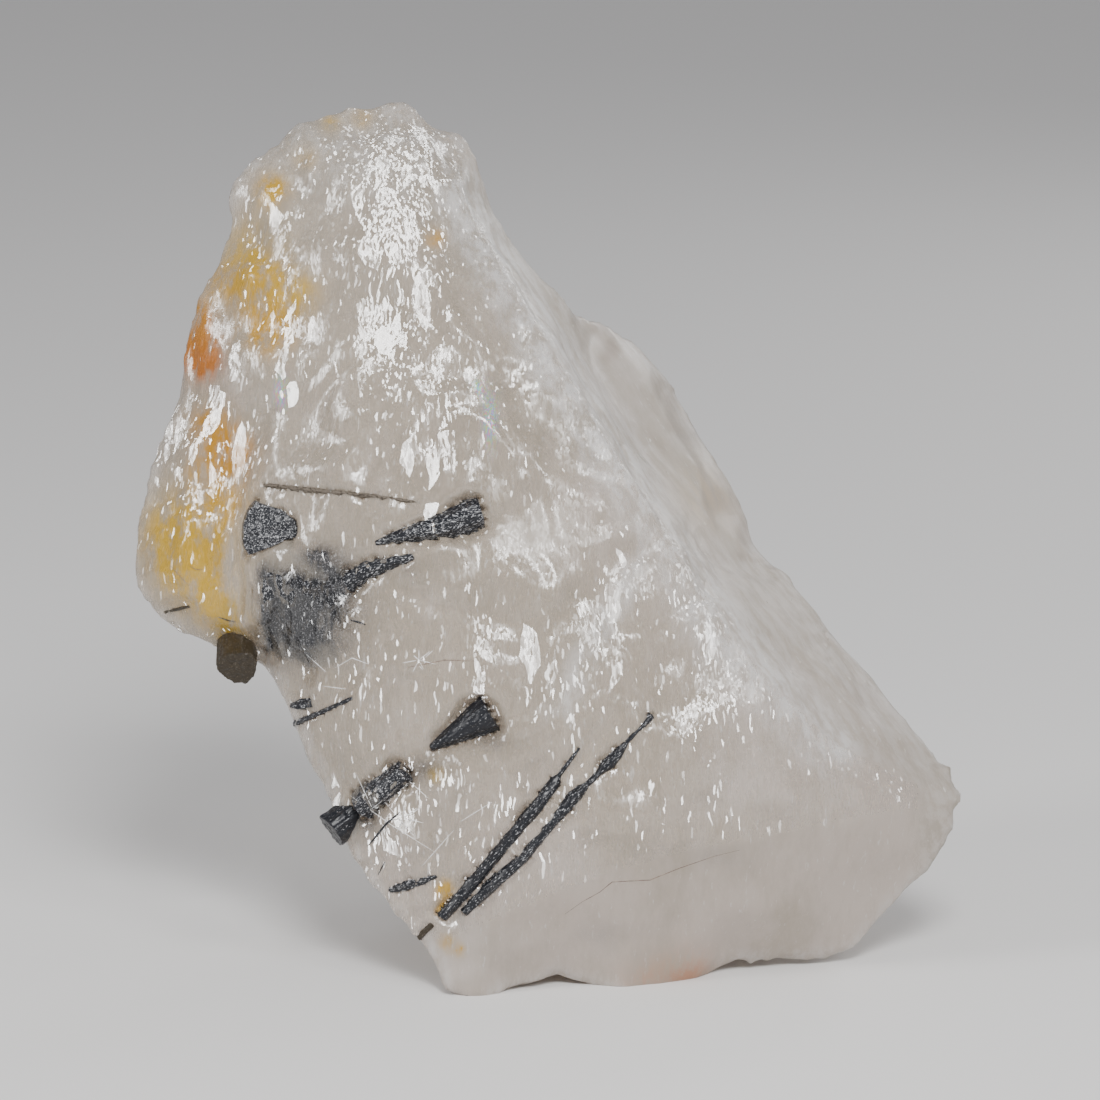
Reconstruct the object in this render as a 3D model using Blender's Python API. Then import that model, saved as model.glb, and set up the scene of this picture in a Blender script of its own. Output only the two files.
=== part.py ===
"""A hand-sized lump of milky quartz with black tourmaline crystals in it, standing on its broken base.

The quartz is one solid. Each tourmaline crystal is a solid of its own, in a socket that opens on the
quartz's skin, because the real crystals reach the surface or lie just under it.
"""

import math

import bmesh
import bpy
from mathutils import Matrix, Vector, geometry, noise
from mathutils.bvhtree import BVHTree

MM = 0.001

# The stone's front was measured square to the eye, which looks down on it by a small angle from in
# front. A measured place is (right of the middle, up, away from the eye), in millimetres.
VIEW_TILT = math.radians(12)
EYE_DISTANCE = 600
EYE_HEIGHT = 44.8

# The middle of the whole box on the floor, in the frame that the stone is measured and built in. The
# finished pieces are moved so that it is their origin.
BOX_MIDDLE = (-0.09, 24.64)

REMESH_CELL = 0.85
QUARTZ_TRIANGLES = 6300

# Relief of the broken surface: how far apart its swells and facets are, and how high, in millimetres.
SWELL_SIZE, SWELL_HEIGHT = 11.0, 0.5
RIPPLE_SIZE, RIPPLE_HEIGHT = 4.5, 0.22

# A facet's edge is rounded over this share of the facet's size.
FACET_SIZE, FACET_TILT, FACET_ROUNDING = 6.0, 0.12, 0.35

# A step rises over this share of the way to the next step, and then starts to fall back slowly.
STEP_SIZE, STEP_HEIGHT, STEPS_IN_SIZE = 9.0, 0.4, 2.5
RISE_START, RISE_LENGTH = 0.25, 0.5

# Where each noise is read, so that no two of them agree.
RIPPLE_SHIFT = Vector((9, 4, 2))
STEP_SHIFT = Vector((30, 0, 0))
LEAN_SHIFT = 7.3

# A crystal's socket is wider than the crystal by this gap, in millimetres.
SOCKET_GAP = 0.3

# How much of its radius a crystal in the skin stands proud of it.
PROUD_SHARE = 0.3

# Crystals with iron in them. The others are black.
BROWN_CRYSTALS = ("rim_stub", "long_needle", "needle_tip", "lobe_needle")

# Crystals that broke off level with the stone, so that the stone's own surface ends them.
LEVEL_CRYSTALS = ("thick_body",)

# Crystals whose break shows whole from in front: its corners (right, up) round the axis, in millimetres.
BREAK_OUTLINES = {
    "end_face_stub": [
        (-1.5, 2.6), (1.0, 1.9), (2.6, 0.7), (2.85, -0.4), (2.6, -0.95), (0.4, -1.8), (-2.1, -2.7),
        (-2.7, -1.8), (-2.7, 0.3), (-2.2, 1.7),
    ],
}

# The edge that the stone shows from in front, clockwise from the crown.
RIM = [
    (-16.5, 90.2, 9), (-13.8, 90.0, 9), (-12.2, 88.5, 9), (-10.4, 87.3, 9), (-8.6, 86.6, 9), (-7.4, 84.7, 9),
    (-6.4, 81.0, 10), (-5.6, 78.6, 10), (-3.6, 75.4, 11), (-1.6, 72.4, 12), (0.6, 70.0, 13),
    (2.2, 68.7, 15), (3.9, 69.6, 21), (5.6, 68.0, 22), (9.0, 65.2, 23), (12.2, 61.8, 24),
    (13.6, 59.2, 24), (16.8, 54.0, 23), (19.4, 49.2, 22), (20.8, 45.0, 20), (21.8, 44.0, 19),
    (23.8, 42.3, 18), (26.5, 38.6, 17), (33.0, 30.8, 16), (38.6, 24.9, 14), (40.5, 23.4, 13),
    (42.0, 22.9, 13), (42.7, 21.2, 13), (42.3, 19.3, 13), (40.0, 16.0, 12), (38.9, 14.5, 12),
    (38.4, 13.1, 12), (36.0, 10.8, 12), (32.9, 7.2, 12), (30.8, 5.0, 12), (28.0, 3.9, 12),
    (23.0, 3.6, 11), (18.0, 3.6, 9), (17.2, 3.1, 9.5), (17.4, 1.7, 10), (14.4, 0.8, 7.6),
    (10.5, 0.3, 5.4), (7.5, 0.2, 4.4), (4.5, 1.1, 4.5), (2.5, 1.5, 4.5), (0.8, 2.1, 4.5),
    (-0.6, 1.6, 3.5), (-3.6, 0.9, 2), (-6.6, -0.9, 0.5), (-8.8, -1.1, 0), (-10.5, 0.5, 0),
    (-11.4, 3.4, 0.5), (-12.8, 5.4, 1), (-15.8, 8.2, 1.5), (-18.4, 11.8, 2), (-20.2, 15.0, 2.5),
    (-21.4, 19.0, 3), (-24.0, 23.6, 4), (-25.6, 27.4, 5), (-27.6, 31.8, 6), (-29.2, 34.0, 7),
    (-31.2, 34.4, 8), (-33.8, 34.4, 8), (-34.6, 35.4, 8), (-37.7, 36.9, 9), (-40.4, 38.9, 9),
    (-41.9, 42.0, 9), (-42.3, 45.4, 9), (-41.4, 48.8, 9), (-40.4, 50.0, 9), (-40.0, 54.2, 9),
    (-38.6, 57.8, 9), (-37.6, 60.4, 9), (-37.3, 63.6, 9), (-37.0, 66.4, 9), (-35.6, 69.9, 9),
    (-33.4, 74.4, 9), (-32.2, 77.4, 9), (-31.9, 80.4, 9), (-31.2, 82.2, 9), (-28.4, 84.8, 9),
    (-25.7, 87.6, 9), (-23.2, 88.3, 9), (-20.8, 89.2, 9), (-18.4, 89.3, 9),
]

# Lines on the front that stay sharp or deep: each is an edge of the mesh.
FRONT_LINES = {
    "long ridge": [
        (-8.8, 80.6, 4), (-6.4, 75.8, 3.5), (-2.5, 69.3, 2.5), (1.5, 62.3, 1.5), (6.2, 54.8, 0.5),
        (11.0, 47.3, 0), (15.5, 39.8, 0), (21.5, 31.8, 1.5), (28.5, 25.3, 4.5), (36.5, 21.3, 9),
    ],
    "valley beside the shoulder": [(4.8, 62.6, 13), (9.0, 54.3, 11), (14.5, 47.8, 11), (18.5, 45.0, 14)],
    "lower ridge": [
        (35.0, 18.6, 8), (29.0, 17.6, 4.5), (21.0, 16.0, 1.5), (14.0, 14.6, 0), (7.0, 12.6, -1),
        (1.0, 10.6, -1), (-5.0, 8.0, -0.5), (-10.0, 5.8, 0),
    ],
    "edge beside the lobe": [
        (-28.2, 79.3, 5), (-28.2, 73.8, 4), (-26.5, 66.8, 2.5), (-27.5, 59.8, 1.5), (-28.5, 54.8, 1),
        (-30.0, 49.8, 1), (-30.3, 43.8, 1), (-30.0, 37.8, 2.5),
    ],
    "groove of the lobe": [(-31.2, 54.3, 4), (-31.8, 49.8, 4), (-31.7, 43.8, 4), (-31.4, 37.3, 5)],
    "lip over the heel": [(15.8, 4.1, 5.5), (13.0, 3.0, 4.8), (10.5, 1.8, 4.6)],
}

FRONT_POINTS = {
    "crown": [
        (-16.5, 86.3, 5), (-12.0, 84.8, 5), (-23.0, 84.8, 5), (-27.5, 80.8, 5), (-20.5, 82.3, 3),
        (-14.0, 81.8, 2.5),
    ],
    "face": [
        (-16.0, 73.8, -0.5), (-22.0, 69.8, 0.5), (-10.0, 69.8, -0.5), (-18.0, 59.8, -2.5),
        (-7.0, 57.8, -3), (1.0, 51.8, -2.5), (-22.0, 49.8, -3), (-11.0, 45.8, -4.5), (1.0, 39.8, -4.5),
        (-25.0, 40.8, -2), (-18.0, 33.8, -3.5), (-7.0, 29.8, -5), (7.0, 29.8, -3.5), (17.0, 23.8, -1),
        (-20.0, 25.8, -1.5), (-15.0, 19.8, -2.5), (-3.0, 18.8, -3.5), (9.0, 17.8, -2.5),
        (-13.0, 11.8, -1), (25.0, 20.8, 2),
    ],
    "shoulder": [(7.2, 64.6, 18), (11.2, 58.3, 17), (15.5, 51.8, 16.5)],
    "side below the shoulder": [(24.0, 35.8, 8), (32.0, 27.8, 9)],
    "underside": [
        (33.0, 12.3, 10), (25.0, 9.8, 6.5), (17.0, 8.3, 3.5), (9.0, 6.8, 2), (1.0, 6.3, 1.5),
        (-6.0, 3.8, 0.3),
    ],
    "lobe": [
        (-32.8, 66.8, 5.5), (-33.5, 59.8, 5), (-36.0, 53.8, 5), (-36.5, 47.8, 4), (-37.0, 41.8, 4.5),
        (-34.0, 38.3, 4.5),
    ],
}

# The back, as (right, back, up) over the floor: the edges between its broken planes.
BACK_LINES = {
    "spine": [(-14, 33, 80), (-11, 39, 67), (-6, 44, 54), (-8, 48, 40)],
    "hip": [(-26, 38, 41), (-8, 48, 40), (8, 49, 37), (22, 45, 31), (33, 34, 20)],
    "bottom edge": [(-26, 30, 31), (-16, 38, 18), (-2, 43, 9), (12, 43, 8), (24, 38, 9), (32, 29, 10)],
}

# What it stands on: the front tip and the heel are on the rim, and the floor cuts these feet flat.
BACK_POINTS = {
    "upper back": [(-27, 35, 61), (-33, 31, 50), (-25, 33, 73), (12, 42.5, 50)],
    "back foot": [(-9, 28, -0.6), (-4, 31, -0.6), (-5, 26, -0.6)],
    "heel foot": [(12, 31, -0.6), (15.5, 28, -0.6), (10, 27, -0.6)],
    "hollow between the feet": [(12, 17, 1.6), (3.5, 17, 2.4), (-2, 12, 2.0), (2.5, 27, 3.0), (3, 36, 3.8)],
    "outer hollow": [(24, 22, 5), (30, 24, 8), (22, 31, 4.5), (-14, 28, 9), (-10, 18, 4)],
}


def place(right, up, away):
    """The point (right, back, up) over the floor, in millimetres, that the eye sees at that place."""
    spread = 1 + away / EYE_DISTANCE
    right, up = right * spread, EYE_HEIGHT + (up - EYE_HEIGHT) * spread
    back = away * math.cos(VIEW_TILT) + up * math.sin(VIEW_TILT)
    height = up * math.cos(VIEW_TILT) - away * math.sin(VIEW_TILT)
    return Vector((right, back, height))


def seen_flat(point):
    """Where the point lies on a sheet held square to the eye."""
    return Vector((point.x, point.y * math.sin(VIEW_TILT) + point.z * math.cos(VIEW_TILT)))


INSIDE_ONLY = 1
SAME_PLACE = 1e-6


def fill_rim(rim, lines, points):
    """Triangles that fill the rim, through the points and along the lines. Returns points, triangles."""
    corners = list(rim)
    edges = [(i, (i + 1) % len(rim)) for i in range(len(rim))]
    for line in lines:
        first = len(corners)
        corners += line
        edges += [(first + i, first + i + 1) for i in range(len(line) - 1)]
    corners += points
    flat = [seen_flat(corner) for corner in corners]
    found = geometry.delaunay_2d_cdt(flat, edges, [list(range(len(rim)))], INSIDE_ONLY, SAME_PLACE)
    came_from = [sources[0] for sources in found[3]]
    return corners, [[came_from[i] for i in face] for face in found[2]]


def quartz_cage():
    """The stone's main planes as one closed mesh: a front skin and a back skin sewn at the rim."""
    rim = [place(*p) for p in RIM]
    front_lines = [[place(*p) for p in line] for line in FRONT_LINES.values()]
    front = [place(*p) for group in FRONT_POINTS.values() for p in group]
    back_lines = [[Vector(p) for p in line] for line in BACK_LINES.values()]
    back = [Vector(p) for group in BACK_POINTS.values() for p in group]

    front_corners, front_faces = fill_rim(rim, front_lines, front)
    back_corners, back_faces = fill_rim(rim, back_lines, back)
    # A tip of the rim that both skins close with the same triangle would have no thickness.
    tips = {frozenset(face) for face in front_faces} & {frozenset(face) for face in back_faces}
    tips = {tip for tip in tips if max(tip) < len(rim)}

    cage = bmesh.new()
    rim_verts = [cage.verts.new(p) for p in rim]
    for corners, faces in ((front_corners, front_faces), (back_corners, back_faces)):
        verts = rim_verts + [cage.verts.new(p) for p in corners[len(rim):]]
        for face in faces:
            if frozenset(face) not in tips:
                cage.faces.new([verts[i] for i in face])
    bmesh.ops.delete(cage, geom=[v for v in cage.verts if not v.link_faces], context="VERTS")
    bmesh.ops.recalc_face_normals(cage, faces=cage.faces)
    return cage


def add_object(name, shape, finish=None):
    """A Blender object from a bmesh, still in millimetres."""
    mesh = bpy.data.meshes.new(name)
    shape.to_mesh(mesh)
    shape.free()
    obj = bpy.data.objects.new(name, mesh)
    bpy.context.scene.collection.objects.link(obj)
    if finish:
        mesh.materials.append(finish)
    return obj


def apply_modifiers(obj):
    """Replaces the object's mesh by what its modifiers make of it."""
    graph = bpy.context.evaluated_depsgraph_get()
    made = bpy.data.meshes.new_from_object(obj.evaluated_get(graph))
    obj.modifiers.clear()
    obj.data = made


def facet(point, size, tilt):
    """Height of a surface broken into facets that each lean their own way, with rounded edges between."""
    where = point / size
    distances, centres = noise.voronoi(where)
    height, shares = 0, 0
    for distance, centre in zip(distances, centres):
        share = max(0, 1 - (distance - distances[0]) / FACET_ROUNDING) ** 2
        lean = noise.cell_vector(centre * size * LEAN_SHIFT) - Vector((0.5, 0.5, 0.5))
        height += share * (where - centre).dot(lean)
        shares += share
    return height / shares * size * 2 * tilt


def ledge(point, size, height):
    """Steps where one layer of the break ends on the next."""
    level = noise.noise(point / size) * STEPS_IN_SIZE
    whole = math.floor(level)
    rise = min(1, max(0, (level - whole - RISE_START) / RISE_LENGTH))
    return (whole + rise - level) * height


def relief(point):
    """How far the broken surface stands out of the main planes at the point, in millimetres."""
    return (
        SWELL_HEIGHT * noise.noise(point / SWELL_SIZE)
        + RIPPLE_HEIGHT * noise.noise(point / RIPPLE_SIZE + RIPPLE_SHIFT)
        + facet(point, FACET_SIZE, FACET_TILT)
        + ledge(point + STEP_SHIFT, STEP_SIZE, STEP_HEIGHT)
    )


def roughen(mesh):
    """Moves each point along its normal by the relief there."""
    moves = [vert.normal * relief(vert.co) for vert in mesh.vertices]
    for vert, move in zip(mesh.vertices, moves):
        vert.co += move


def as_cutter(obj):
    """Marks an object that only cuts others, so that it isn't part of the model."""
    obj.hide_render = True
    obj.display_type = "WIRE"
    return obj


SLAB_WIDTH, SLAB_HEIGHT = 200, 20


def floor_cutter():
    """A slab whose top is the floor: what the stone has below it is cut off flat."""
    shape = bmesh.new()
    bmesh.ops.create_cube(shape, size=1, matrix=Matrix.Diagonal((SLAB_WIDTH, SLAB_WIDTH, SLAB_HEIGHT, 1)))
    bmesh.ops.translate(shape, vec=(0, 0, -SLAB_HEIGHT / 2), verts=shape.verts)
    return as_cutter(add_object("floor cutter", shape))


def cut(obj, cutter, keep_inside=False):
    """Takes the cutter's shape out of the object, or keeps only that, once its modifiers are applied."""
    modifier = obj.modifiers.new("cut by " + cutter.name, "BOOLEAN")
    modifier.object = cutter
    modifier.operation = "INTERSECT" if keep_inside else "DIFFERENCE"


def loose_body(start):
    """Every vertex that is joined to the first by edges."""
    found, to_do = {start}, [start]
    while to_do:
        for edge in to_do.pop().link_edges:
            for vert in edge.verts:
                if vert not in found:
                    found.add(vert)
                    to_do.append(vert)
    return found


def drop_crumbs(obj):
    """Deletes the chips that a socket has cut free at the skin, and keeps the stone."""
    shape = bmesh.new()
    shape.from_mesh(obj.data)
    bodies, left = [], set(shape.verts)
    while left:
        bodies.append(loose_body(left.pop()))
        left -= bodies[-1]
    bodies.sort(key=len)
    for crumb in bodies[:-1]:
        bmesh.ops.delete(shape, geom=list(crumb), context="VERTS")
    shape.to_mesh(obj.data)
    shape.free()


def finish_of(name, colour, roughness, **others):
    """A material of one colour and gloss. Others are more of the shader's inputs, _ for a space."""
    finish = bpy.data.materials.new(name)
    finish.use_nodes = True
    surface = finish.node_tree.nodes["Principled BSDF"]
    surface.inputs["Base Color"].default_value = (*colour, 1)
    surface.inputs["Roughness"].default_value = roughness
    surface.inputs["Metallic"].default_value = 0
    for words, value in others.items():
        surface.inputs[words.replace("_", " ")].default_value = value
    return finish


def build_quartz():
    """The stone without its sockets."""
    milky = finish_of("milky quartz", (0.66, 0.61, 0.56), 0.25, Transmission_Weight=0.6, IOR=1.54)
    quartz = add_object("quartz", quartz_cage(), milky)
    remesh = quartz.modifiers.new("even mesh", "REMESH")
    remesh.mode = "VOXEL"
    remesh.voxel_size = REMESH_CELL
    apply_modifiers(quartz)
    roughen(quartz.data)
    decimate = quartz.modifiers.new("fewer triangles", "DECIMATE")
    decimate.ratio = QUARTZ_TRIANGLES / (2 * len(quartz.data.polygons))
    cut(quartz, floor_cutter())
    apply_modifiers(quartz)
    return quartz


# How far in front of the stone a line of sight starts, and how far away the stone's rim is, on average.
IN_FRONT = -60
RIM_AWAY = 5


class Surface:
    """The quartz's surface, to find the place on or under it that the eye sees at (right, up)."""

    def __init__(self, quartz):
        shape = bmesh.new()
        shape.from_mesh(quartz.data)
        self.tree = BVHTree.FromBMesh(shape)
        shape.free()

    def under(self, right, up, depth):
        """The place that deep under the surface, along the line of sight."""
        start, at_rim = place(right, up, IN_FRONT), place(right, up, RIM_AWAY)
        sight = (at_rim - start).normalized()
        hit = self.tree.ray_cast(start, sight)[0]
        if hit is None:
            # The place is just past the rim, so the crystal reaches the rim.
            hit = self.tree.find_nearest(at_rim)[0]
        return hit + sight * depth


def flush(surface, *stations):
    """Stations (right, up, radius) of a crystal that lies in the surface, a little of it standing proud."""
    return [
        (surface.under(right, up, radius * (1 - PROUD_SHARE)), radius)
        for right, up, radius in stations
    ]


def crystal_shapes(stone):
    """Every crystal's name, with its stations: a point on its axis and the radius there."""
    return {
        "rim_stub": [(place(-31.2, 33.0, 4.5), 2.05), (place(-31.0, 39.0, 12), 2.2)],
        "end_face_stub": [
            (stone.under(-28.0, 47.0, -0.4), 2.9), (stone.under(-28.1, 47.2, 1.8), 2.8),
        ],
        "thick_body": [
            (stone.under(-25.2, 42.8, 1.5), 4.1), (stone.under(-25.0, 39.4, 2.2), 4.3),
            (stone.under(-24.6, 34.8, 3.4), 4.2),
        ],
        "upper_band": flush(
            stone, (-17.5, 45.5, 0.3), (-14.0, 46.4, 0.9), (-10.5, 47.2, 1.4), (-8.0, 48.2, 1.8),
            (-6.9, 48.6, 1.7),
        ),
        "lower_band": flush(
            stone, (-20.2, 41.5, 1.1), (-18.5, 42.7, 1.1), (-16.5, 43.3, 0.9), (-13.6, 44.2, 0.35),
        ),
        "long_needle": flush(
            stone, (-28.6, 51.3, 0.3), (-26.3, 51.0, 0.33), (-24.0, 50.8, 0.35), (-21.0, 50.5, 0.3),
            (-18.0, 50.2, 0.28), (-15.5, 49.9, 0.2), (-13.0, 49.5, 0.15),
        ),
        "pair_block": flush(stone, (-25.9, 29.2, 0.25), (-24.9, 29.3, 0.6), (-23.6, 29.5, 0.5)),
        "pair_needle": flush(stone, (-25.5, 27.4, 0.35), (-22.5, 28.7, 0.3), (-19.7, 30.0, 0.22)),
        "chain_rim_end": [(place(-21.9, 16.7, 1.9), 1.9), (stone.under(-19.6, 18.5, 1.7), 1.7)],
        "chain_middle": flush(stone, (-18.7, 19.3, 1.8), (-16.5, 21.0, 1.5), (-14.4, 22.7, 1.3)),
        "chain_wedge": flush(stone, (-11.9, 25.0, 0.4), (-9.0, 26.7, 1.2), (-5.9, 28.5, 2.05)),
        "needle_upper": flush(
            stone, (-10.9, 8.1, 0.65), (-8.5, 10.6, 0.75), (-4.5, 15.4, 0.65), (-1.5, 18.9, 0.7),
            (0.6, 21.7, 0.75), (0.9, 22.2, 0.25), (2.9, 25.0, 0.14),
        ),
        "needle_tip": flush(stone, (-13.1, 6.0, 0.35), (-11.7, 7.4, 0.35)),
        "needle_lower": flush(
            stone, (-8.6, 8.5, 0.5), (-5.5, 11.6, 0.75), (-2.5, 14.2, 0.6), (0.0, 17.2, 0.5),
            (2.4, 20.1, 0.8), (3.8, 21.4, 0.35), (4.8, 22.4, 0.35), (5.9, 23.5, 0.75), (6.8, 24.5, 0.6),
            (7.8, 25.7, 0.25), (9.0, 27.0, 0.3), (10.2, 28.3, 0.45),
        ),
        "short_band": flush(
            stone, (-16.0, 10.8, 0.35), (-14.5, 11.2, 0.6), (-12.5, 11.8, 0.45), (-11.3, 12.2, 0.2),
        ),
        "lobe_needle": flush(stone, (-38.5, 38.6, 0.2), (-37.3, 38.9, 0.22), (-36.0, 39.2, 0.2)),
    }


# How many sides a crystal's section gets from each radius on: enough to round a thick one's corners.
SECTION_SIDES = [(1.5, 12), (0.6, 9), (0, 6)]
CORNER_BULGE = 0.1


def sides_of(radius):
    return next(sides for least, sides in SECTION_SIDES if radius > least)


def section(centre, along, radius, sides, grow):
    """Points of a tourmaline's section, a triangle with bulging sides, square to the axis."""
    across = along.orthogonal().normalized()
    other = along.cross(across)
    points = []
    for i in range(sides):
        turn = 2 * math.pi * i / sides
        reach = radius * (1 + CORNER_BULGE * math.cos(3 * turn)) + grow
        points.append(centre + (across * math.cos(turn) + other * math.sin(turn)) * reach)
    return points


def outlined_section(centre, outline, grow):
    """Points of a section that the eye sees square on, with the corners of the outline."""
    points = []
    for right, up in outline:
        corner = Vector((right, up * math.sin(VIEW_TILT), up * math.cos(VIEW_TILT)))
        points.append(centre + corner * (1 + grow / corner.length))
    return points


def crystal_prism(stations, outline=None, grow=0.0):
    """A closed bar through the stations. Its socket is the same bar, grown on every side."""
    shape = bmesh.new()
    centres = [centre for centre, _ in stations]
    whole_axis = (centres[-1] - centres[0]).normalized()
    sides = len(outline) if outline else sides_of(max(radius for _, radius in stations))
    rings = []
    for i, (centre, radius) in enumerate(stations):
        if i == 0:
            centre = centre - whole_axis * grow
        if i == len(stations) - 1:
            centre = centre + whole_axis * grow
        if outline:
            ring = outlined_section(centre, outline, grow)
        else:
            ring = section(centre, whole_axis, radius, sides, grow)
        rings.append([shape.verts.new(p) for p in ring])
    for ring, following in zip(rings, rings[1:]):
        for i in range(sides):
            j = (i + 1) % sides
            shape.faces.new((ring[i], ring[j], following[j], following[i]))
    shape.faces.new(reversed(rings[0]))
    shape.faces.new(rings[-1])
    bmesh.ops.recalc_face_normals(shape, faces=shape.faces)
    return shape


# From this angle on, an edge is shown sharp.
CRYSTAL_EDGE = math.radians(40)
QUARTZ_EDGE = math.radians(25)


def build_crystals(quartz):
    """Adds every crystal, and cuts its socket in the quartz."""
    black = finish_of("black tourmaline", (0.018, 0.019, 0.024), 0.35)
    brown = finish_of("brown tourmaline", (0.055, 0.036, 0.018), 0.4)
    uncut = as_cutter(bpy.data.objects.new("quartz without sockets", quartz.data.copy()))
    bpy.context.scene.collection.objects.link(uncut)
    for name, stations in crystal_shapes(Surface(quartz)).items():
        outline = BREAK_OUTLINES.get(name)
        prism = crystal_prism(stations, outline)
        crystal = add_object(name, prism, brown if name in BROWN_CRYSTALS else black)
        if name in LEVEL_CRYSTALS:
            cut(crystal, uncut, keep_inside=True)
            apply_modifiers(crystal)
        crystal.data.shade_smooth()
        crystal.data.set_sharp_from_angle(angle=CRYSTAL_EDGE)
        socket = add_object("socket of " + name, crystal_prism(stations, outline, SOCKET_GAP))
        cut(quartz, as_cutter(socket))
    apply_modifiers(quartz)
    drop_crumbs(quartz)


def to_metres():
    """Scales every piece from millimetres, and moves it so that the box's middle is the origin."""
    middle = Vector((BOX_MIDDLE[0], BOX_MIDDLE[1], 0))
    for obj in bpy.data.objects:
        obj.data.transform(Matrix.Scale(MM, 4) @ Matrix.Translation(-middle))


def main():
    for obj in list(bpy.data.objects):
        bpy.data.objects.remove(obj)
    quartz = build_quartz()
    build_crystals(quartz)
    quartz.data.shade_smooth()
    quartz.data.set_sharp_from_angle(angle=QUARTZ_EDGE)
    to_metres()


main()
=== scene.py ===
# %% [markdown]
# # A lump of tourmalinated quartz
# The real thing is a broken hand specimen: milky quartz that split along rough, glassy breaks, with
# black tourmaline prisms grown through it. This lesson dresses the plain solids of the model. The quartz
# is carved again at a finer grain and gets a clear but cloudy material, and the crystals get their ribs.

# %% Load the solids
import math

import bmesh
import bpy
import numpy as np
from mathutils import Matrix, Vector, geometry, noise
from mathutils.bvhtree import BVHTree


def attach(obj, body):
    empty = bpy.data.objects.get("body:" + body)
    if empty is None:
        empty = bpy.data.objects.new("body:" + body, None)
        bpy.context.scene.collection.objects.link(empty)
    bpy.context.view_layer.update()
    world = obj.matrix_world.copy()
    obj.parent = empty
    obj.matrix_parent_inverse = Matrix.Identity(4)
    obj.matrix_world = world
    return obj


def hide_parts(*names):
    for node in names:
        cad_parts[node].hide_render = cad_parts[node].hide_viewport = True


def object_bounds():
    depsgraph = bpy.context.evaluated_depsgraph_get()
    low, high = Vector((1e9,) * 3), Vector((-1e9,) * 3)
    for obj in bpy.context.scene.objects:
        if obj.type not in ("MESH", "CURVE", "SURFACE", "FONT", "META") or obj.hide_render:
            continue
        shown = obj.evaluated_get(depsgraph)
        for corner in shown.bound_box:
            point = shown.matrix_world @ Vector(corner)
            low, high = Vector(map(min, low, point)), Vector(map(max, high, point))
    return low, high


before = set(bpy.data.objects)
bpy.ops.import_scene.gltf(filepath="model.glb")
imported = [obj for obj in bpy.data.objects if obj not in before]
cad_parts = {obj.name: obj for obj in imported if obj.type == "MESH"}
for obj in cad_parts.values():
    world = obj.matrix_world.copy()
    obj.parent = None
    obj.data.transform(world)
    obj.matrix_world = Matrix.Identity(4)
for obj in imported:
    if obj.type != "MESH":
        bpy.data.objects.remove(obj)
cad_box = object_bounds()
print("solids:", len(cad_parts), "nodes")

# %% [markdown]
# ## The eye that measured the stone
# The stone is described by what an eye sees from in front, looking down by 12 degrees from 600 mm away.
# A place is then (right, up, away) in millimetres, square to that eye, which is easy to read off the
# real stone. One function turns it into a point over the floor, and the camera sits where the eye was.

# %% Where the eye is
MM = 0.001
VIEW_TILT = math.radians(12)
EYE_DISTANCE = 600
EYE_HEIGHT = 44.8
FRAME_HEIGHT = 110
BOX_MIDDLE = (-0.09, 24.64)
SENSOR = 36


def place(right, up, away):
    """The point (right, back, up) over the floor, in millimetres, that the eye sees at that place."""
    spread = 1 + away / EYE_DISTANCE
    right, up = right * spread, EYE_HEIGHT + (up - EYE_HEIGHT) * spread
    back = away * math.cos(VIEW_TILT) + up * math.sin(VIEW_TILT)
    height = up * math.cos(VIEW_TILT) - away * math.sin(VIEW_TILT)
    return Vector((right, back, height))


TO_FRAME = Matrix.Scale(MM, 4) @ Matrix.Translation((-BOX_MIDDLE[0], -BOX_MIDDLE[1], 0))
TO_MEASURED = TO_FRAME.inverted()
EYE = place(0, EYE_HEIGHT, -EYE_DISTANCE)

camera = bpy.data.objects.new("camera", bpy.data.cameras.new("camera"))
bpy.context.scene.collection.objects.link(camera)
camera.location = TO_FRAME @ EYE
camera.rotation_euler = (math.radians(90) - VIEW_TILT, 0, 0)
camera.data.sensor_width = SENSOR
camera.data.lens = SENSOR * EYE_DISTANCE / FRAME_HEIGHT
camera.data.clip_start = 0.01
bpy.context.scene.camera = camera
print("lens:", round(camera.data.lens), "mm")

# %% [markdown]
# ## Floor and light
# A pale floor and a pale room keep attention on the stone. Glassy breaks only sparkle when something
# small and bright is mirrored in them, so the lamps are panels no larger than a hand. The key panel
# stands where the upper face mirrors it, weaker ones do the same for the left rim and for the mid
# face, and two at the back draw soft streaks down the right slope and the shoulder.

# %% Objects and plain finishes
def new_material(name):
    """A new material, its node tree and its Principled BSDF."""
    made = bpy.data.materials.new(name)
    made.use_nodes = True
    return made, made.node_tree, made.node_tree.nodes["Principled BSDF"]


def plain_material(name, colour, roughness):
    """One even colour, for the floor."""
    made, _, surface = new_material(name)
    surface.inputs["Base Color"].default_value = (*colour, 1)
    surface.inputs["Roughness"].default_value = roughness
    return made


def add_object(name, shape, material=None):
    """A Blender object from a bmesh, which it uses up."""
    mesh = bpy.data.meshes.new(name)
    shape.to_mesh(mesh)
    shape.free()
    obj = bpy.data.objects.new(name, mesh)
    bpy.context.scene.collection.objects.link(obj)
    if material:
        mesh.materials.append(material)
    return obj


# %% Build the stage
FLOOR_SIZE = 3.0
AIM = Vector((0, 0, 0.045))
LAMP_DISTANCE = 0.55

floor_shape = bmesh.new()
bmesh.ops.create_grid(floor_shape, x_segments=1, y_segments=1, size=FLOOR_SIZE)
floor = add_object("floor", floor_shape, plain_material("pale floor", (0.80, 0.79, 0.78), 0.7))


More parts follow.
